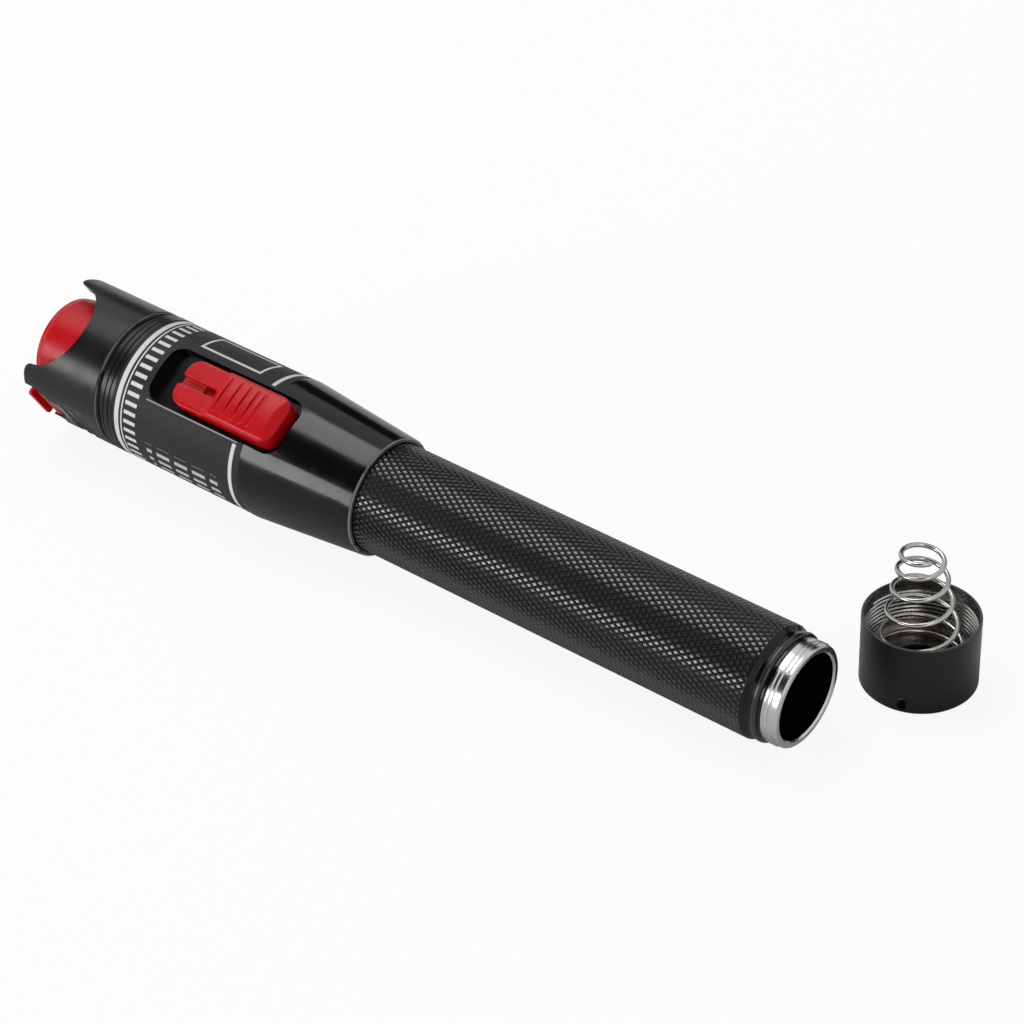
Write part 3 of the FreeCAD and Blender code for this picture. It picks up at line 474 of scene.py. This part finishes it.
# Painted shade: the washer lies at the bottom of the cap's pit, so its nickel is darkened and heavily stained for
# the shade there.
WASHER_NICKEL_PAINTED_SHADE = bright_metal("washer_nickel_painted_shade", (0.26, 0.22, 0.19), gloss=0.26, ring_pitch=0.06,
                          ring_depth=0.004, frame_of=CAP, cover=0.6)
BRASS = bright_metal("turned_brass", (0.78, 0.55, 0.23), gloss=0.26, ring_pitch=0.1, ring_depth=0.006,
                     stain=(0.25, 0.13, 0.05))
SWITCH_CASE = bright_metal("tinned_case", (0.66, 0.66, 0.66), gloss=0.3, ring_pitch=0.2,
                           ring_depth=0.003)
print("metals", [made.name for made in (TAIL_METAL, CAP_METAL, WIRE, PIN_STEEL, NICKEL, WASHER_NICKEL_PAINTED_SHADE, BRASS,
                                        SWITCH_CASE)])

# %% [markdown]
# ### Red plastic
# The slider and the lid are moulded in a pigmented red with a fine spark-eroded skin. The colour deepens a
# little from place to place, and fingers polish patches of it, so gloss and colour both vary slowly. The
# black mouldings, the rubber and the ceramic inside come from the same recipe.

# %% Mouldings, rubber and ceramic
def moulded(name, deep, light, gloss, skin_depth, specular=0.5):
    """A fine moulded skin whose colour drifts from deep to light, polished in patches."""
    made, tree, shader, point = start(name, Specular_IOR_Level=specular)
    grain = place(tree, GRAIN, Point=point, Size=0.16, Mottle_Size=4)
    polished = place(tree, TOUCH, Point=point, Size=3, Cover=0.6)
    colour = blend(tree, grain["Mottle"], (*deep, 1), (*light, 1))
    rough = calc(tree, "SUBTRACT", level(tree, grain["Mottle"], gloss - 0.03, gloss + 0.05),
                 calc(tree, "MULTIPLY", polished["Mask"], 0.08))
    join(tree, shader, Base_Color=colour, Roughness=rough, Normal=relief(tree, grain["Pits"], skin_depth))
    return made


RED = moulded("red_plastic", (0.44, 0.0015, 0.005), (0.54, 0.003, 0.009), gloss=0.34,
              skin_depth=0.003, specular=0.22)
DARK_PLASTIC = moulded("dark_plastic", (0.018, 0.018, 0.019), (0.032, 0.032, 0.034), gloss=0.5,
                       skin_depth=0.006)
RUBBER = moulded("oiled_rubber", (0.008, 0.008, 0.008), (0.014, 0.014, 0.014), gloss=0.25,
                 skin_depth=0.002)
CERAMIC = moulded("zirconia_white", (0.80, 0.79, 0.74), (0.88, 0.87, 0.83), gloss=0.15,
                  skin_depth=0.0005)
print("mouldings", [made.name for made in (RED, DARK_PLASTIC, RUBBER, CERAMIC)])

# %% [markdown]
# ### The printed label
# A satin film carries the print. Everything on it is a band along the pen, a window round it, or the two
# multiplied, so the stripes stay sharp at any distance. Where such a pen carries words, this one has plain bars
# only. A thin pale line along the near edge of the slider's pocket is not print but painted highlight, drawn with
# the same pale ink. Each mask is given by its centre and its half width: in millimetres along the pen, or in
# degrees round it from the switch.

# %% Masks for the print
LABEL, tree, shader, point = start("printed_film", Specular_IOR_Level=0.12)
where = place(tree, WHERE, Point=point)


def stripe(centre, half):
    """A ring round the pen."""
    return place(tree, BAND, Value=where["Along"], Centre=centre, Half=half, Soft=0.06)["Mask"]


def window(centre, half):
    """A strip along the pen."""
    return place(tree, BAND, Value=where["Angle"], Centre=centre, Half=half, Soft=0.4)["Mask"]


def bars(tree, value, pitch, share, soft):
    """Evenly repeated bars along any value; share is the part of the pitch that a bar covers."""
    phase = calc(tree, "MULTIPLY", calc(tree, "FRACT", calc(tree, "DIVIDE", value, pitch)), pitch)
    return place(tree, BAND, Value=phase, Centre=pitch / 2, Half=pitch * share / 2, Soft=soft)["Mask"]


# %% Lay the print out, with a painted highlight
SHIFT_A_DEGREE = 0.031      # each row of dashes is shifted a little from the one before, mm
wide_ring = stripe(22.8, 0.5)
fine_ring = stripe(23.95, 0.15)
bar_ring = both(tree, stripe(25.9, 1.35), bars(tree, where["Angle"], pitch=8.0, share=0.4, soft=0.5))
rear_ring = both(tree, stripe(49.7, 0.4), leave_out(tree, window(0, 28.5)))
shifted = calc(tree, "ADD", where["Along"], calc(tree, "MULTIPLY", where["Angle"], SHIFT_A_DEGREE))
side_rows = both(tree, bars(tree, where["Angle"], pitch=9.5, share=0.42, soft=0.6), window(87, 23.5),
                 stripe(38.0, 8.4), bars(tree, shifted, pitch=4.2, share=0.72, soft=0.1))
frame_inside = both(tree, stripe(38.6, 6.5), window(-48, 11.6))
far_frame = both(tree, stripe(38.6, 7.0), window(-48, 14), leave_out(tree, frame_inside))
# Painted highlight, not print: a pale line along the near edge of the slider's pocket, for the light that edge
# catches.
painted_edge_highlight = both(tree, stripe(39.5, 10.6), window(26.7, 0.5))
print_and_highlight = union(tree, [wide_ring, fine_ring, bar_ring, rear_ring, far_frame,
                       calc(tree, "MULTIPLY", side_rows, 0.75), calc(tree, "MULTIPLY", painted_edge_highlight, 0.5)])

# %% Film, ink and painted highlight
INK_AND_HIGHLIGHT = (0.66, 0.66, 0.66, 1)
grain = place(tree, GRAIN, Point=point, Size=0.2, Mottle_Size=5)
film = blend(tree, grain["Mottle"], (0.021, 0.021, 0.022, 1), (0.030, 0.030, 0.031, 1))
worn = place(tree, TOUCH, Point=point, Size=1.2, Cover=0.25)
ink_and_highlight = both(tree, print_and_highlight, leave_out(tree, calc(tree, "MULTIPLY", worn["Mask"], 0.3)))
normal = relief(tree, grain["Pits"], 0.002)
normal = relief(tree, print_and_highlight, 0.01, normal)
join(tree, shader, Base_Color=blend(tree, ink_and_highlight, film, INK_AND_HIGHLIGHT), Roughness=level(tree, grain["Mottle"], 0.46, 0.56),
     Normal=normal)
print("label has", len(tree.nodes), "nodes")

# %% [markdown]
# ### The hidden pieces
# A lens, a circuit board and their neighbours sit inside, and show when the pen is opened or exported. Each
# gets its own finish too. The board has copper tracks under its green varnish, drawn as crossed bars.

# %% Glass and circuit board
GLASS, tree, shader, point = start("lens_glass", Transmission_Weight=1.0, IOR=1.52)
grain = place(tree, GRAIN, Point=point, Size=0.5, Mottle_Size=3)
join(tree, shader, Base_Color=blend(tree, grain["Mottle"], (0.86, 0.93, 0.95, 1), (0.95, 0.98, 1.0, 1)),
     Roughness=level(tree, grain["Mottle"], 0.01, 0.04))

TRACK_GREEN = (0.030, 0.230, 0.070, 1)
BOARD, tree, shader, point = start("green_board", Specular_IOR_Level=0.5)
where = place(tree, WHERE, Point=point)
across = add(tree, "SeparateXYZ", {0: point}).outputs["Y"]
long_tracks = bars(tree, across, pitch=1.3, share=0.35, soft=0.1)
cross_tracks = both(tree, bars(tree, where["Along"], pitch=5.0, share=0.1, soft=0.1),
                    bars(tree, across, pitch=3.9, share=0.5, soft=0.1))
tracks = union(tree, [long_tracks, cross_tracks])
grain = place(tree, GRAIN, Point=point, Size=0.2, Mottle_Size=4)
green = blend(tree, grain["Mottle"], (0.010, 0.110, 0.030, 1), (0.015, 0.150, 0.045, 1))
join(tree, shader, Base_Color=blend(tree, tracks, green, TRACK_GREEN),
     Roughness=level(tree, grain["Mottle"], 0.25, 0.4), Normal=relief(tree, tracks, 0.03))
print("inside", GLASS.name, BOARD.name)

# %% [markdown]
# ## Modelling in the pen's millimetres
# Two ways of making a piece are used below. A turned piece is drawn as one vertex extruded from corner to
# corner and then spun, as on a lathe. A moulded or milled piece starts as a copy of its CAD node, whose loose
# triangles are merged and whose flat areas become whole faces, so that a bevel can soften its real edges.
# Either way the piece is made in millimetres, and laid in its place when it is finished.

# %% Copy a CAD node
def only(piece):
    """Select one piece alone and make it the active one."""
    deselect()
    piece.select_set(True)
    bpy.context.view_layer.objects.active = piece


def copy_of(node, frame_of=PEN):
    """A clean copy of a CAD node, in its own millimetres and with no finish."""
    deselect()
    piece = bpy.data.objects.new(node + "_skin", frame["nodes"][node].data.copy())
    scene.collection.objects.link(piece)
    only(piece)
    piece.matrix_world = frame_of.inverted()
    bpy.ops.object.transform_apply(location=True, rotation=True, scale=True)
    bpy.ops.object.mode_set(mode="EDIT")
    bpy.ops.mesh.select_all(action="SELECT")
    bpy.ops.mesh.remove_doubles(threshold=0.002)
    bpy.ops.mesh.dissolve_limited(angle_limit=math.radians(1))
    bpy.ops.mesh.customdata_custom_splitnormals_clear()
    bpy.ops.object.mode_set(mode="OBJECT")
    piece.data.materials.clear()
    return piece


# %% Turn a piece on a lathe
LATHE_STEPS = 128


def lathe(corners):
    """Spin a closed outline of (along, radius) corners round the X axis."""
    deselect()
    bpy.ops.mesh.primitive_plane_add(size=1)
    bpy.ops.object.mode_set(mode="EDIT")
    bpy.ops.mesh.merge(type="CENTER")
    bpy.ops.transform.translate(value=(corners[0][0], 0, corners[0][1]))
    for (x0, r0), (x1, r1) in zip(corners, corners[1:]):
        bpy.ops.mesh.extrude_region_move(TRANSFORM_OT_translate={"value": (x1 - x0, 0, r1 - r0)})
    bpy.ops.mesh.select_all(action="SELECT")
    bpy.ops.mesh.remove_doubles(threshold=0.001)
    bpy.ops.mesh.spin(steps=LATHE_STEPS, angle=2 * math.pi, center=(0, 0, 0), axis=(1, 0, 0))
    bpy.ops.mesh.select_all(action="SELECT")
    bpy.ops.mesh.remove_doubles(threshold=0.001)
    bpy.ops.mesh.normals_make_consistent(inside=False)
    bpy.ops.object.mode_set(mode="OBJECT")
    return bpy.context.object


# %% Soften edges and shade
SHARP = math.radians(40)    # a corner sharper than this is an edge


def even_shading(piece):
    """Shade smooth between edges, and let the large faces lead, so that a narrow bevel doesn't bend it."""
    only(piece)
    bpy.ops.object.shade_smooth_by_angle(angle=SHARP)
    flats = piece.modifiers.new("flats", "WEIGHTED_NORMAL")
    flats.keep_sharp = True
    bpy.ops.object.modifier_apply(modifier="flats")


def soften(piece, width, segments=2):
    """Bevel a piece's edges and shade it."""
    only(piece)
    rounding = piece.modifiers.new("edges", "BEVEL")
    rounding.width = width
    rounding.segments = segments
    rounding.limit_method = "ANGLE"
    rounding.angle_limit = SHARP
    rounding.miter_outer = "MITER_ARC"
    bpy.ops.object.modifier_apply(modifier="edges")
    even_shading(piece)
    return piece


# %% Finish a piece and lay it in its place
def radius_of(point):
    """How far a point is from the piece's own axis."""
    return math.hypot(point.y, point.z)


def two_finishes(piece, first, second, test):
    """Give the faces whose middles pass the test the second finish, and the rest the first."""
    piece.data.materials.append(first)
    piece.data.materials.append(second)
    for face in piece.data.polygons:
        face.material_index = int(test(face.center))


def lay(piece, name, body, slot, *materials, frame_of=PEN, replaces=()):
    """Name a finished piece, lay it in its place, give it its materials, hang it on its body and hide the CAD
    nodes it replaces.
    """
    only(piece)
    piece.name = piece.data.name = name
    piece.matrix_world = frame_of @ piece.matrix_world
    bpy.ops.object.transform_apply(location=True, rotation=True, scale=True)
    for material in materials:
        piece.data.materials.append(material)
    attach(piece, body)
    if replaces:
        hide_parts(*replaces)
    mesh = piece.data
    print(name, len(mesh.vertices), "vertices", sum(len(f.vertices) - 2 for f in mesh.polygons), "triangles")


# %% [markdown]
# ## The lid
# A moulding has no sharp edge anywhere. So the lid is rebuilt as small even faces and relaxed, which rounds
# it all over. The bead round its front is a torus, sunk in the front's edge before that, so that the
# rebuilding makes the two one skin.

# %% Round a moulding all over
def mould(piece, voxel, passes):
    """Rebuild a copy as small even faces and relax them."""
    only(piece)
    even = piece.modifiers.new("even", "REMESH")
    even.mode = "VOXEL"
    even.voxel_size = voxel
    bpy.ops.object.modifier_apply(modifier="even")
    relax = piece.modifiers.new("relax", "SMOOTH")
    relax.factor = 0.5
    relax.iterations = passes
    bpy.ops.object.modifier_apply(modifier="relax")
    bpy.ops.object.shade_smooth()
    return piece


# %% A bead round the lid's front
BEAD_R, BEAD_ROUND = 8.75, 0.34
BEAD_SINK = 0.12            # its middle lies this far behind the edge of the front
cup = copy_of("dust_lid")
front_edge = min(v.co.x for v in cup.data.vertices if abs(radius_of(v.co) - BEAD_R) < 0.5)
deselect()
bpy.ops.mesh.primitive_torus_add(major_radius=BEAD_R, minor_radius=BEAD_ROUND, major_segments=128,
                                 location=(front_edge + BEAD_SINK, 0, 0), rotation=(0, math.pi / 2, 0))
bead = bpy.context.object
only(cup)
bead.select_set(True)
bpy.ops.object.join()
print("lid's front edge at", round(front_edge, 2))
lay(mould(cup, voxel=0.15, passes=4), "lid_cup", "lid", "red_plastic", RED, replaces=["dust_lid"])

# %% [markdown]
# ## Head and body
# The two shells keep their CAD shapes and gain soft edges. A machined shell has a broken edge of a tenth of a
# millimetre, which catches a thin line of light, and a bevel that is limited by angle finds those edges by
# itself. The body is satin in front of the label, like the head, and glossy from there on.

# %% Soften the shells
BROKEN_EDGE = 0.12
LABEL_START = 21.6
lay(soften(copy_of("head_shell"), BROKEN_EDGE), "head", "pen", "black_anodised", HEAD_BLACK,
    replaces=["head_shell"])
shell = soften(copy_of("body_shell"), BROKEN_EDGE)
two_finishes(shell, BODY_BLACK, HEAD_BLACK, lambda middle: middle.x < LABEL_START)
lay(shell, "body", "pen", "black_gloss", replaces=["body_shell"])

# %% [markdown]
# ## The slider
# The button is rounded as the lid is. Thumbs wear it most along its rim and at its tail, so these are relaxed
# once more, while the grooves across its top stay crisp.

# %% Wear the slider's rim
RIM_HEIGHT = 12.2           # above this the button stands out of its pocket
RIM_HALF = 3.8
NOSE_END, TAIL_START = 36.0, 50.4


def slider_rim(point):
    """The button's nose, long edges and tail, clear of the grooves across its top."""
    outer = abs(point.y) > RIM_HALF or point.x > TAIL_START or point.x < NOSE_END
    return point.z > RIM_HEIGHT and outer


def wear(piece, test, passes):
    """Relax only the places that pass the test."""
    only(piece)
    worn = piece.vertex_groups.new(name="worn")
    worn.add([v.index for v in piece.data.vertices if test(v.co)], 1.0, "REPLACE")
    rub = piece.modifiers.new("rub", "SMOOTH")
    rub.vertex_group = "worn"
    rub.iterations = passes
    bpy.ops.object.modifier_apply(modifier="rub")
    piece.vertex_groups.clear()
    return piece


button = mould(copy_of("switch_slider"), voxel=0.11, passes=7)
lay(wear(button, slider_rim, passes=45), "slider_button", "slider", "red_plastic", RED,
    replaces=["switch_slider"])

# %% [markdown]
# ## The label
# The label is a thin film, wrapped round the body and cut out for the slider's pocket. Its CAD shape is right, so
# its edge is only broken a little, and its finish is the print, together with a painted highlight along the near
# edge of the pocket.

# %% The film
lay(soften(copy_of("label_wrap"), 0.02, segments=1), "label", "pen", "label_film", LABEL,
    replaces=["label_wrap"])

# %% [markdown]
# ## The knurled grip
# A diamond knurl is rolled into the tube as small pyramids with flat tops, in rows that step sideways by half
# a diamond. It could be a bump, but its rows show in the outline and throw their own highlights, so it is
# modelled: one diamond is inset and raised, two arrays lay a flat sheet of it, a second sheet shifted by half
# a step fills the gaps, and a bend rolls the sheet into a tube.

# %% One diamond
KNURL_START, KNURL_END = 69.5, 155.0
AROUND = 56
PITCH = 1.9
FLANK = 0.255               # width of a diamond's sloping side
STEP = 2 * math.pi * KNURL_FLOOR / AROUND
ROWS = round((KNURL_END - KNURL_START) / PITCH)
deselect()
bpy.ops.mesh.primitive_circle_add(vertices=4, radius=0.5, fill_type="NGON", rotation=(math.pi / 2, 0, 0))
grip = bpy.context.object
grip.scale = (STEP, PITCH, 1)
bpy.ops.object.transform_apply(location=True, rotation=True, scale=True)
bpy.ops.object.mode_set(mode="EDIT")
bpy.ops.mesh.select_all(action="SELECT")
bpy.ops.mesh.inset(thickness=FLANK)
bpy.ops.transform.translate(value=(0, KNURL_FLOOR - KNURL_TOP, 0))
bpy.ops.object.mode_set(mode="OBJECT")
print("one diamond of", 2 * AROUND * ROWS, [round(side, 2) for side in grip.dimensions])

# %% Two sheets of it
def repeat(piece, count, offset):
    """Array a piece and apply it."""
    only(piece)
    rows = piece.modifiers.new("rows", "ARRAY")
    rows.count = count
    rows.use_relative_offset = False
    rows.use_constant_offset = True
    rows.constant_offset_displace = offset
    bpy.ops.object.modifier_apply(modifier="rows")


repeat(grip, AROUND, (STEP, 0, 0))
repeat(grip, ROWS + 1, (0, 0, PITCH))
only(grip)
bpy.ops.object.mode_set(mode="EDIT")
bpy.ops.mesh.select_all(action="SELECT")
bpy.ops.transform.translate(value=(-STEP * AROUND / 2 + STEP / 2, 0, 0))
bpy.ops.mesh.duplicate_move(TRANSFORM_OT_translate={"value": (STEP / 2, 0, -PITCH / 2)})
bpy.ops.mesh.select_all(action="SELECT")
bpy.ops.mesh.remove_doubles(threshold=0.01)
bpy.ops.object.mode_set(mode="OBJECT")
print("sheet", [round(s, 2) for s in grip.dimensions], len(grip.data.polygons), "faces")

# %% [markdown]
# The bend modifier turns the sheet about its own Z, through an angle that is shared over its whole width, so
# the half step that hangs over at one side is counted in. The seam is then merged, and the tube is turned
# to lie along X, cut square at both ends on the same line of the pattern, and closed with an inner wall.

# %% Roll it up
only(grip)
roll = grip.modifiers.new("roll", "SIMPLE_DEFORM")
roll.deform_method = "BEND"
roll.deform_axis = "Z"
roll.angle = grip.dimensions.x / KNURL_FLOOR
bpy.ops.object.modifier_apply(modifier="roll")
bpy.ops.object.mode_set(mode="EDIT")
bpy.ops.mesh.select_all(action="SELECT")
bpy.ops.mesh.remove_doubles(threshold=0.02)
bpy.ops.object.mode_set(mode="OBJECT")
grip.matrix_world = (Matrix.Translation((KNURL_START, 0, 0)) @ Matrix.Rotation(math.pi / 2, 4, "Y")
                     @ Matrix.Translation((0, -KNURL_FLOOR, 0)))
bpy.ops.object.transform_apply(location=True, rotation=True, scale=True)
print("rolled", [round(side, 2) for side in grip.dimensions])

# %% Cut its ends square and close it
SLEEVE_BORE = 8.9


def pick_edges(piece, test):
    """Select in edit mode the edges whose two ends pass the test."""
    bpy.ops.object.mode_set(mode="OBJECT")
    bpy.context.tool_settings.mesh_select_mode = (False, True, False)
    mesh = piece.data
    for part in (*mesh.polygons, *mesh.vertices):
        part.select = False
    for edge in mesh.edges:
        first, last = (mesh.vertices[i] for i in edge.vertices)
        edge.select = test(first.co, last.co)
        if edge.select:
            first.select = last.select = True
    bpy.ops.object.mode_set(mode="EDIT")


def on_end(first, last):
    """True for an edge that lies in one of the two cuts."""
    return any(abs(first.x - at) < 1e-3 and abs(last.x - at) < 1e-3 for at in (KNURL_START, KNURL_END))


bpy.ops.object.mode_set(mode="EDIT")
for at, outward in ((KNURL_START, -1), (KNURL_END, 1)):
    bpy.ops.mesh.select_all(action="SELECT")
    bpy.ops.mesh.bisect(plane_co=(at, 0, 0), plane_no=(outward, 0, 0), clear_outer=True)
pick_edges(grip, on_end)
bpy.ops.mesh.extrude_edges_move()
bpy.ops.transform.resize(value=(1, SLEEVE_BORE / KNURL_FLOOR, SLEEVE_BORE / KNURL_FLOOR),
                         center_override=((KNURL_START + KNURL_END) / 2, 0, 0))
bpy.ops.mesh.bridge_edge_loops()
bpy.ops.mesh.select_all(action="SELECT")
bpy.ops.mesh.normals_make_consistent(inside=False)
bpy.ops.object.mode_set(mode="OBJECT")
bpy.ops.object.shade_flat()
lay(grip, "knurled_sleeve", "pen", "black_anodised", GRIP_BLACK, replaces=["battery_tube"])

# %% [markdown]
# ## The tube and its tail
# Under the knurl the tube is plain turning: a front spigot, the shoulder behind the knurl, a neck with the
# O-ring's groove, and the bare tail. The tail thread is a real ridge: a small triangle carried round by the
# Screw modifier, which climbs one pitch each turn.

# %% The tube's core
TUBE_FRONT, TUBE_SEAT, TAIL_END = 61.9, 66.0, 161.4
CELL_BORE, WIDE_BORE = 7.6, 7.9         # the bore is a little wider at its two ends
SPIGOT_R, NECK_R, GROOVE_R, ROOT_R = 9.15, 9.05, 8.35, 8.93
BARE_FROM = 158.6                       # the black never reached the thread and the rim behind it
spigot = [(TUBE_FRONT, WIDE_BORE), (TUBE_FRONT, SPIGOT_R), (TUBE_SEAT, SPIGOT_R), (TUBE_SEAT, KNURL_TOP),
          (KNURL_START, KNURL_TOP), (KNURL_START, SLEEVE_BORE)]
shoulder = [(KNURL_END, SLEEVE_BORE), (KNURL_END, 9.93), (155.15, 9.95), (155.75, 9.25), (156.0, NECK_R)]
groove = [(156.55, NECK_R), (156.55, GROOVE_R), (157.85, GROOVE_R), (157.85, NECK_R)]
tail = [(158.55, NECK_R), (158.7, ROOT_R), (160.95, ROOT_R), (BORE_MOUTH, 8.95), (TAIL_END, 8.62),
        (TAIL_END, WIDE_BORE)]
bore = [(BORE_MOUTH, CELL_BORE), (63.0, CELL_BORE), (63.0, WIDE_BORE), (TUBE_FRONT, WIDE_BORE)]
tube = soften(lathe(spigot + shoulder + groove + tail + bore), 0.06)
two_finishes(tube, BODY_BLACK, TAIL_METAL,
             lambda middle: middle.x > BARE_FROM and radius_of(middle) > CELL_BORE + 0.02)
lay(tube, "tube_core", "pen", "black_anodised", replaces=["battery_tube"])

# %% The threads
THREAD_PITCH = 0.78
THREAD_HALF = 0.32          # half the width of its foot


def thread(start_x, turns, root, crest):
    """A ridge of triangular section, wound round the X axis and closed at its two ends."""
    deselect()
    bpy.ops.mesh.primitive_circle_add(vertices=3, radius=1, location=(0, 0, 0), rotation=(math.pi / 2, 0, 0))
    ridge = bpy.context.object
    corners = [(start_x - THREAD_HALF, root), (start_x, crest), (start_x + THREAD_HALF, root)]
    for vertex, (x, r) in zip(ridge.data.vertices, corners):
        vertex.co = ridge.matrix_world.inverted() @ Vector((x, 0, r))
    only(ridge)
    bpy.ops.object.transform_apply(location=True, rotation=True, scale=True)
    wind = ridge.modifiers.new("wind", "SCREW")
    wind.axis = "X"
    wind.screw_offset = THREAD_PITCH
    wind.iterations = turns
    wind.steps = wind.render_steps = 96
    wind.use_merge_vertices = True
    bpy.ops.object.modifier_apply(modifier="wind")
    bpy.ops.object.mode_set(mode="EDIT")
    bpy.ops.mesh.select_all(action="DESELECT")
    bpy.ops.mesh.select_non_manifold()
    bpy.ops.mesh.edge_face_add()
    bpy.ops.mesh.select_all(action="SELECT")
    bpy.ops.mesh.normals_make_consistent(inside=False)
    bpy.ops.object.mode_set(mode="OBJECT")
    return soften(ridge, 0.03, segments=1)


lay(thread(158.95, turns=2, root=8.85, crest=9.15), "tail_thread", "pen", "black_anodised", TAIL_METAL,
    replaces=["battery_tube"])
lay(thread(4.6, turns=8, root=9.5, crest=9.2), "cap_thread", "pen", "black_anodised", CAP_METAL,
    frame_of=CAP, replaces=["tail_cap"])

# %% [markdown]
# ## The cap
# The cap is turned from bar and anodised outside only. Its inside has the relieved mouth, the thread, a well for
# the spring's foot and a deeper pit. The pit is given the black as well, and the washer in it is darkened, as
# painted shade at the bottom of the cap. The lanyard hole slants in through the lower corner. It is cut with a
# Boolean, by a cylinder that is laid along the slant given in the record and stops short of the underside, so that
# no pale floor shows through.

# %% Turn the cap
CAP_R, CAP_HEIGHT, THREAD_BORE = 9.85, 13.1, 9.4
CAP_FLOOR = 3.6
WELL_FLOOR, WELL_R = 2.3, 8.7
PIT_FLOOR, PIT_R = 1.4, 5.6
outside = [(0, 0), (0, 9.45), (0.4, CAP_R), (12.95, CAP_R), (CAP_HEIGHT, 9.7)]
inside = [(CAP_HEIGHT, 9.45), (11.5, 9.42), (11.2, THREAD_BORE), (CAP_FLOOR, THREAD_BORE)]
floors = [(CAP_FLOOR, WELL_R), (WELL_FLOOR, WELL_R), (WELL_FLOOR, PIT_R), (PIT_FLOOR, PIT_R), (PIT_FLOOR, 0)]
cap = soften(lathe(outside + inside + floors + [(0, 0)]), 0.05)
print("cap", [round(side, 2) for side in cap.dimensions])

# %% Drill the lanyard hole
HOLE_R, DRILL_LENGTH = 0.8, 3
DRILL_OUT = 1.4             # the drill's middle lies this far out along the slant
hole = mounts["lanyard_hole"]
corner = CAP.inverted() @ Vector(hole["pos_m"])
slant = (CAP.to_3x3().inverted() @ Vector(hole["axis"])).normalized()
deselect()
bpy.ops.mesh.primitive_cylinder_add(vertices=32, radius=HOLE_R, depth=DRILL_LENGTH,
                                    location=corner + slant * DRILL_OUT,
                                    rotation=slant.to_track_quat("Z", "Y").to_euler())
drill = bpy.context.object
only(cap)
cut = cap.modifiers.new("drill", "BOOLEAN")
cut.object = drill
bpy.ops.object.modifier_apply(modifier="drill")
only(drill)
bpy.ops.object.delete()
# Painted shade: the pit below the well takes the black, not the bare metal.
two_finishes(cap, CAP_BLACK, CAP_METAL,
             lambda middle: WELL_FLOOR - 0.05 < middle.x < CAP_HEIGHT - 0.1 and radius_of(middle) < 9.5)
even_shading(cap)
lay(cap, "cap_shell", "pen", "black_anodised", frame_of=CAP, replaces=["tail_cap"])

# %% [markdown]
# ## The battery spring
# A conical spring is one wire whose radius shrinks and whose height grows as it winds. Its centre line is
# easiest to give as that rule, so it is a curve with a round bevel, made a mesh once it looks right. The foot
# lies flat on the washer, the last turn is nearly flat too, and the small end leans a little, as cheap
# springs do.

# %% Wind the spring
WIRE_R, TURNS, STEPS_A_TURN = 0.42, 5.8, 48
FOOT, TOP = 2.6, 26.0                   # heights of its two ends
FOOT_R, END_R, TAPER = 7.95, 3.2, 1.25
FOOT_EASE, TOP_EASE = 1.2, 1.45         # how flat it lies at its foot and at its last turn
FOOT_ANGLE, LEAN_ANGLE = math.radians(41), math.radians(219)
LEAN = 0.6
wire = bpy.data.curves.new("spring", "CURVE")
wire.dimensions = "3D"
wire.bevel_depth = WIRE_R
wire.bevel_resolution = 3
wire.use_fill_caps = True
line = wire.splines.new("POLY")
count = round(TURNS * STEPS_A_TURN)
line.points.add(count)
for k, point in enumerate(line.points):
    share = k / count
    turn = 2 * math.pi * TURNS * share + FOOT_ANGLE
    radius = END_R + (FOOT_R - END_R) * (1 - share) ** TAPER
    height = FOOT + WIRE_R + (TOP - FOOT - 2 * WIRE_R) * (1 - (1 - share ** FOOT_EASE) ** TOP_EASE)
    x = radius * math.cos(turn) + LEAN * share * math.cos(LEAN_ANGLE)
    y = radius * math.sin(turn) + LEAN * share * math.sin(LEAN_ANGLE)
    point.co = (height, y, -x, 1)

# %% Make it a mesh
deselect()
spring = bpy.data.objects.new("spring", wire)
scene.collection.objects.link(spring)
only(spring)
bpy.ops.object.convert(target="MESH")
spring = bpy.context.object
bpy.ops.object.shade_smooth_by_angle(angle=SHARP)
lay(spring, "spring", "pen", "spring_steel", WIRE, frame_of=CAP, replaces=["tail_spring"])

# %% [markdown]
# ## O-ring, washer and the pieces inside
# The O-ring and the washer keep their CAD forms, merged and shaded smooth. The pieces inside the pen keep
# their CAD nodes and only get finishes.

# %% Smooth copies of the round pieces
ROUND = (("tail_o_ring", "o_ring", "black_rubber", RUBBER, PEN),
         ("cap_contact", "washer", "nickel", WASHER_NICKEL_PAINTED_SHADE, CAP))
for node, name, slot, material, frame_of in ROUND:
    piece = copy_of(node, frame_of)
    only(piece)
    bpy.ops.object.shade_smooth_by_angle(angle=SHARP)
    lay(piece, name, "pen", slot, material, frame_of=frame_of, replaces=[node])

# %% Finishes for the CAD nodes that stay
FINISH = {"hinge_pin": PIN_STEEL, "port_body": NICKEL, "port_nut": NICKEL, "ceramic_sleeve": CERAMIC,
          "laser_barrel": BRASS, "lens": GLASS, "lens_ring": BRASS, "laser_diode": BRASS,
          "module_carrier": DARK_PLASTIC, "circuit_board": BOARD, "board_screws": PIN_STEEL,
          "switch_block": SWITCH_CASE, "driver_chip": DARK_PLASTIC, "capacitors": SWITCH_CASE,
          "contact_insulator": DARK_PLASTIC, "front_contact": BRASS, "ground_ring": BRASS,
          "switch_lever": DARK_PLASTIC, "lid_seal": RUBBER}
for node, material in FINISH.items():
    piece = frame["nodes"][node]
    for spot in piece.material_slots:
        spot.material = material
print("left bare", [n for n, o in frame["nodes"].items() if n not in FINISH and not o.hide_render])
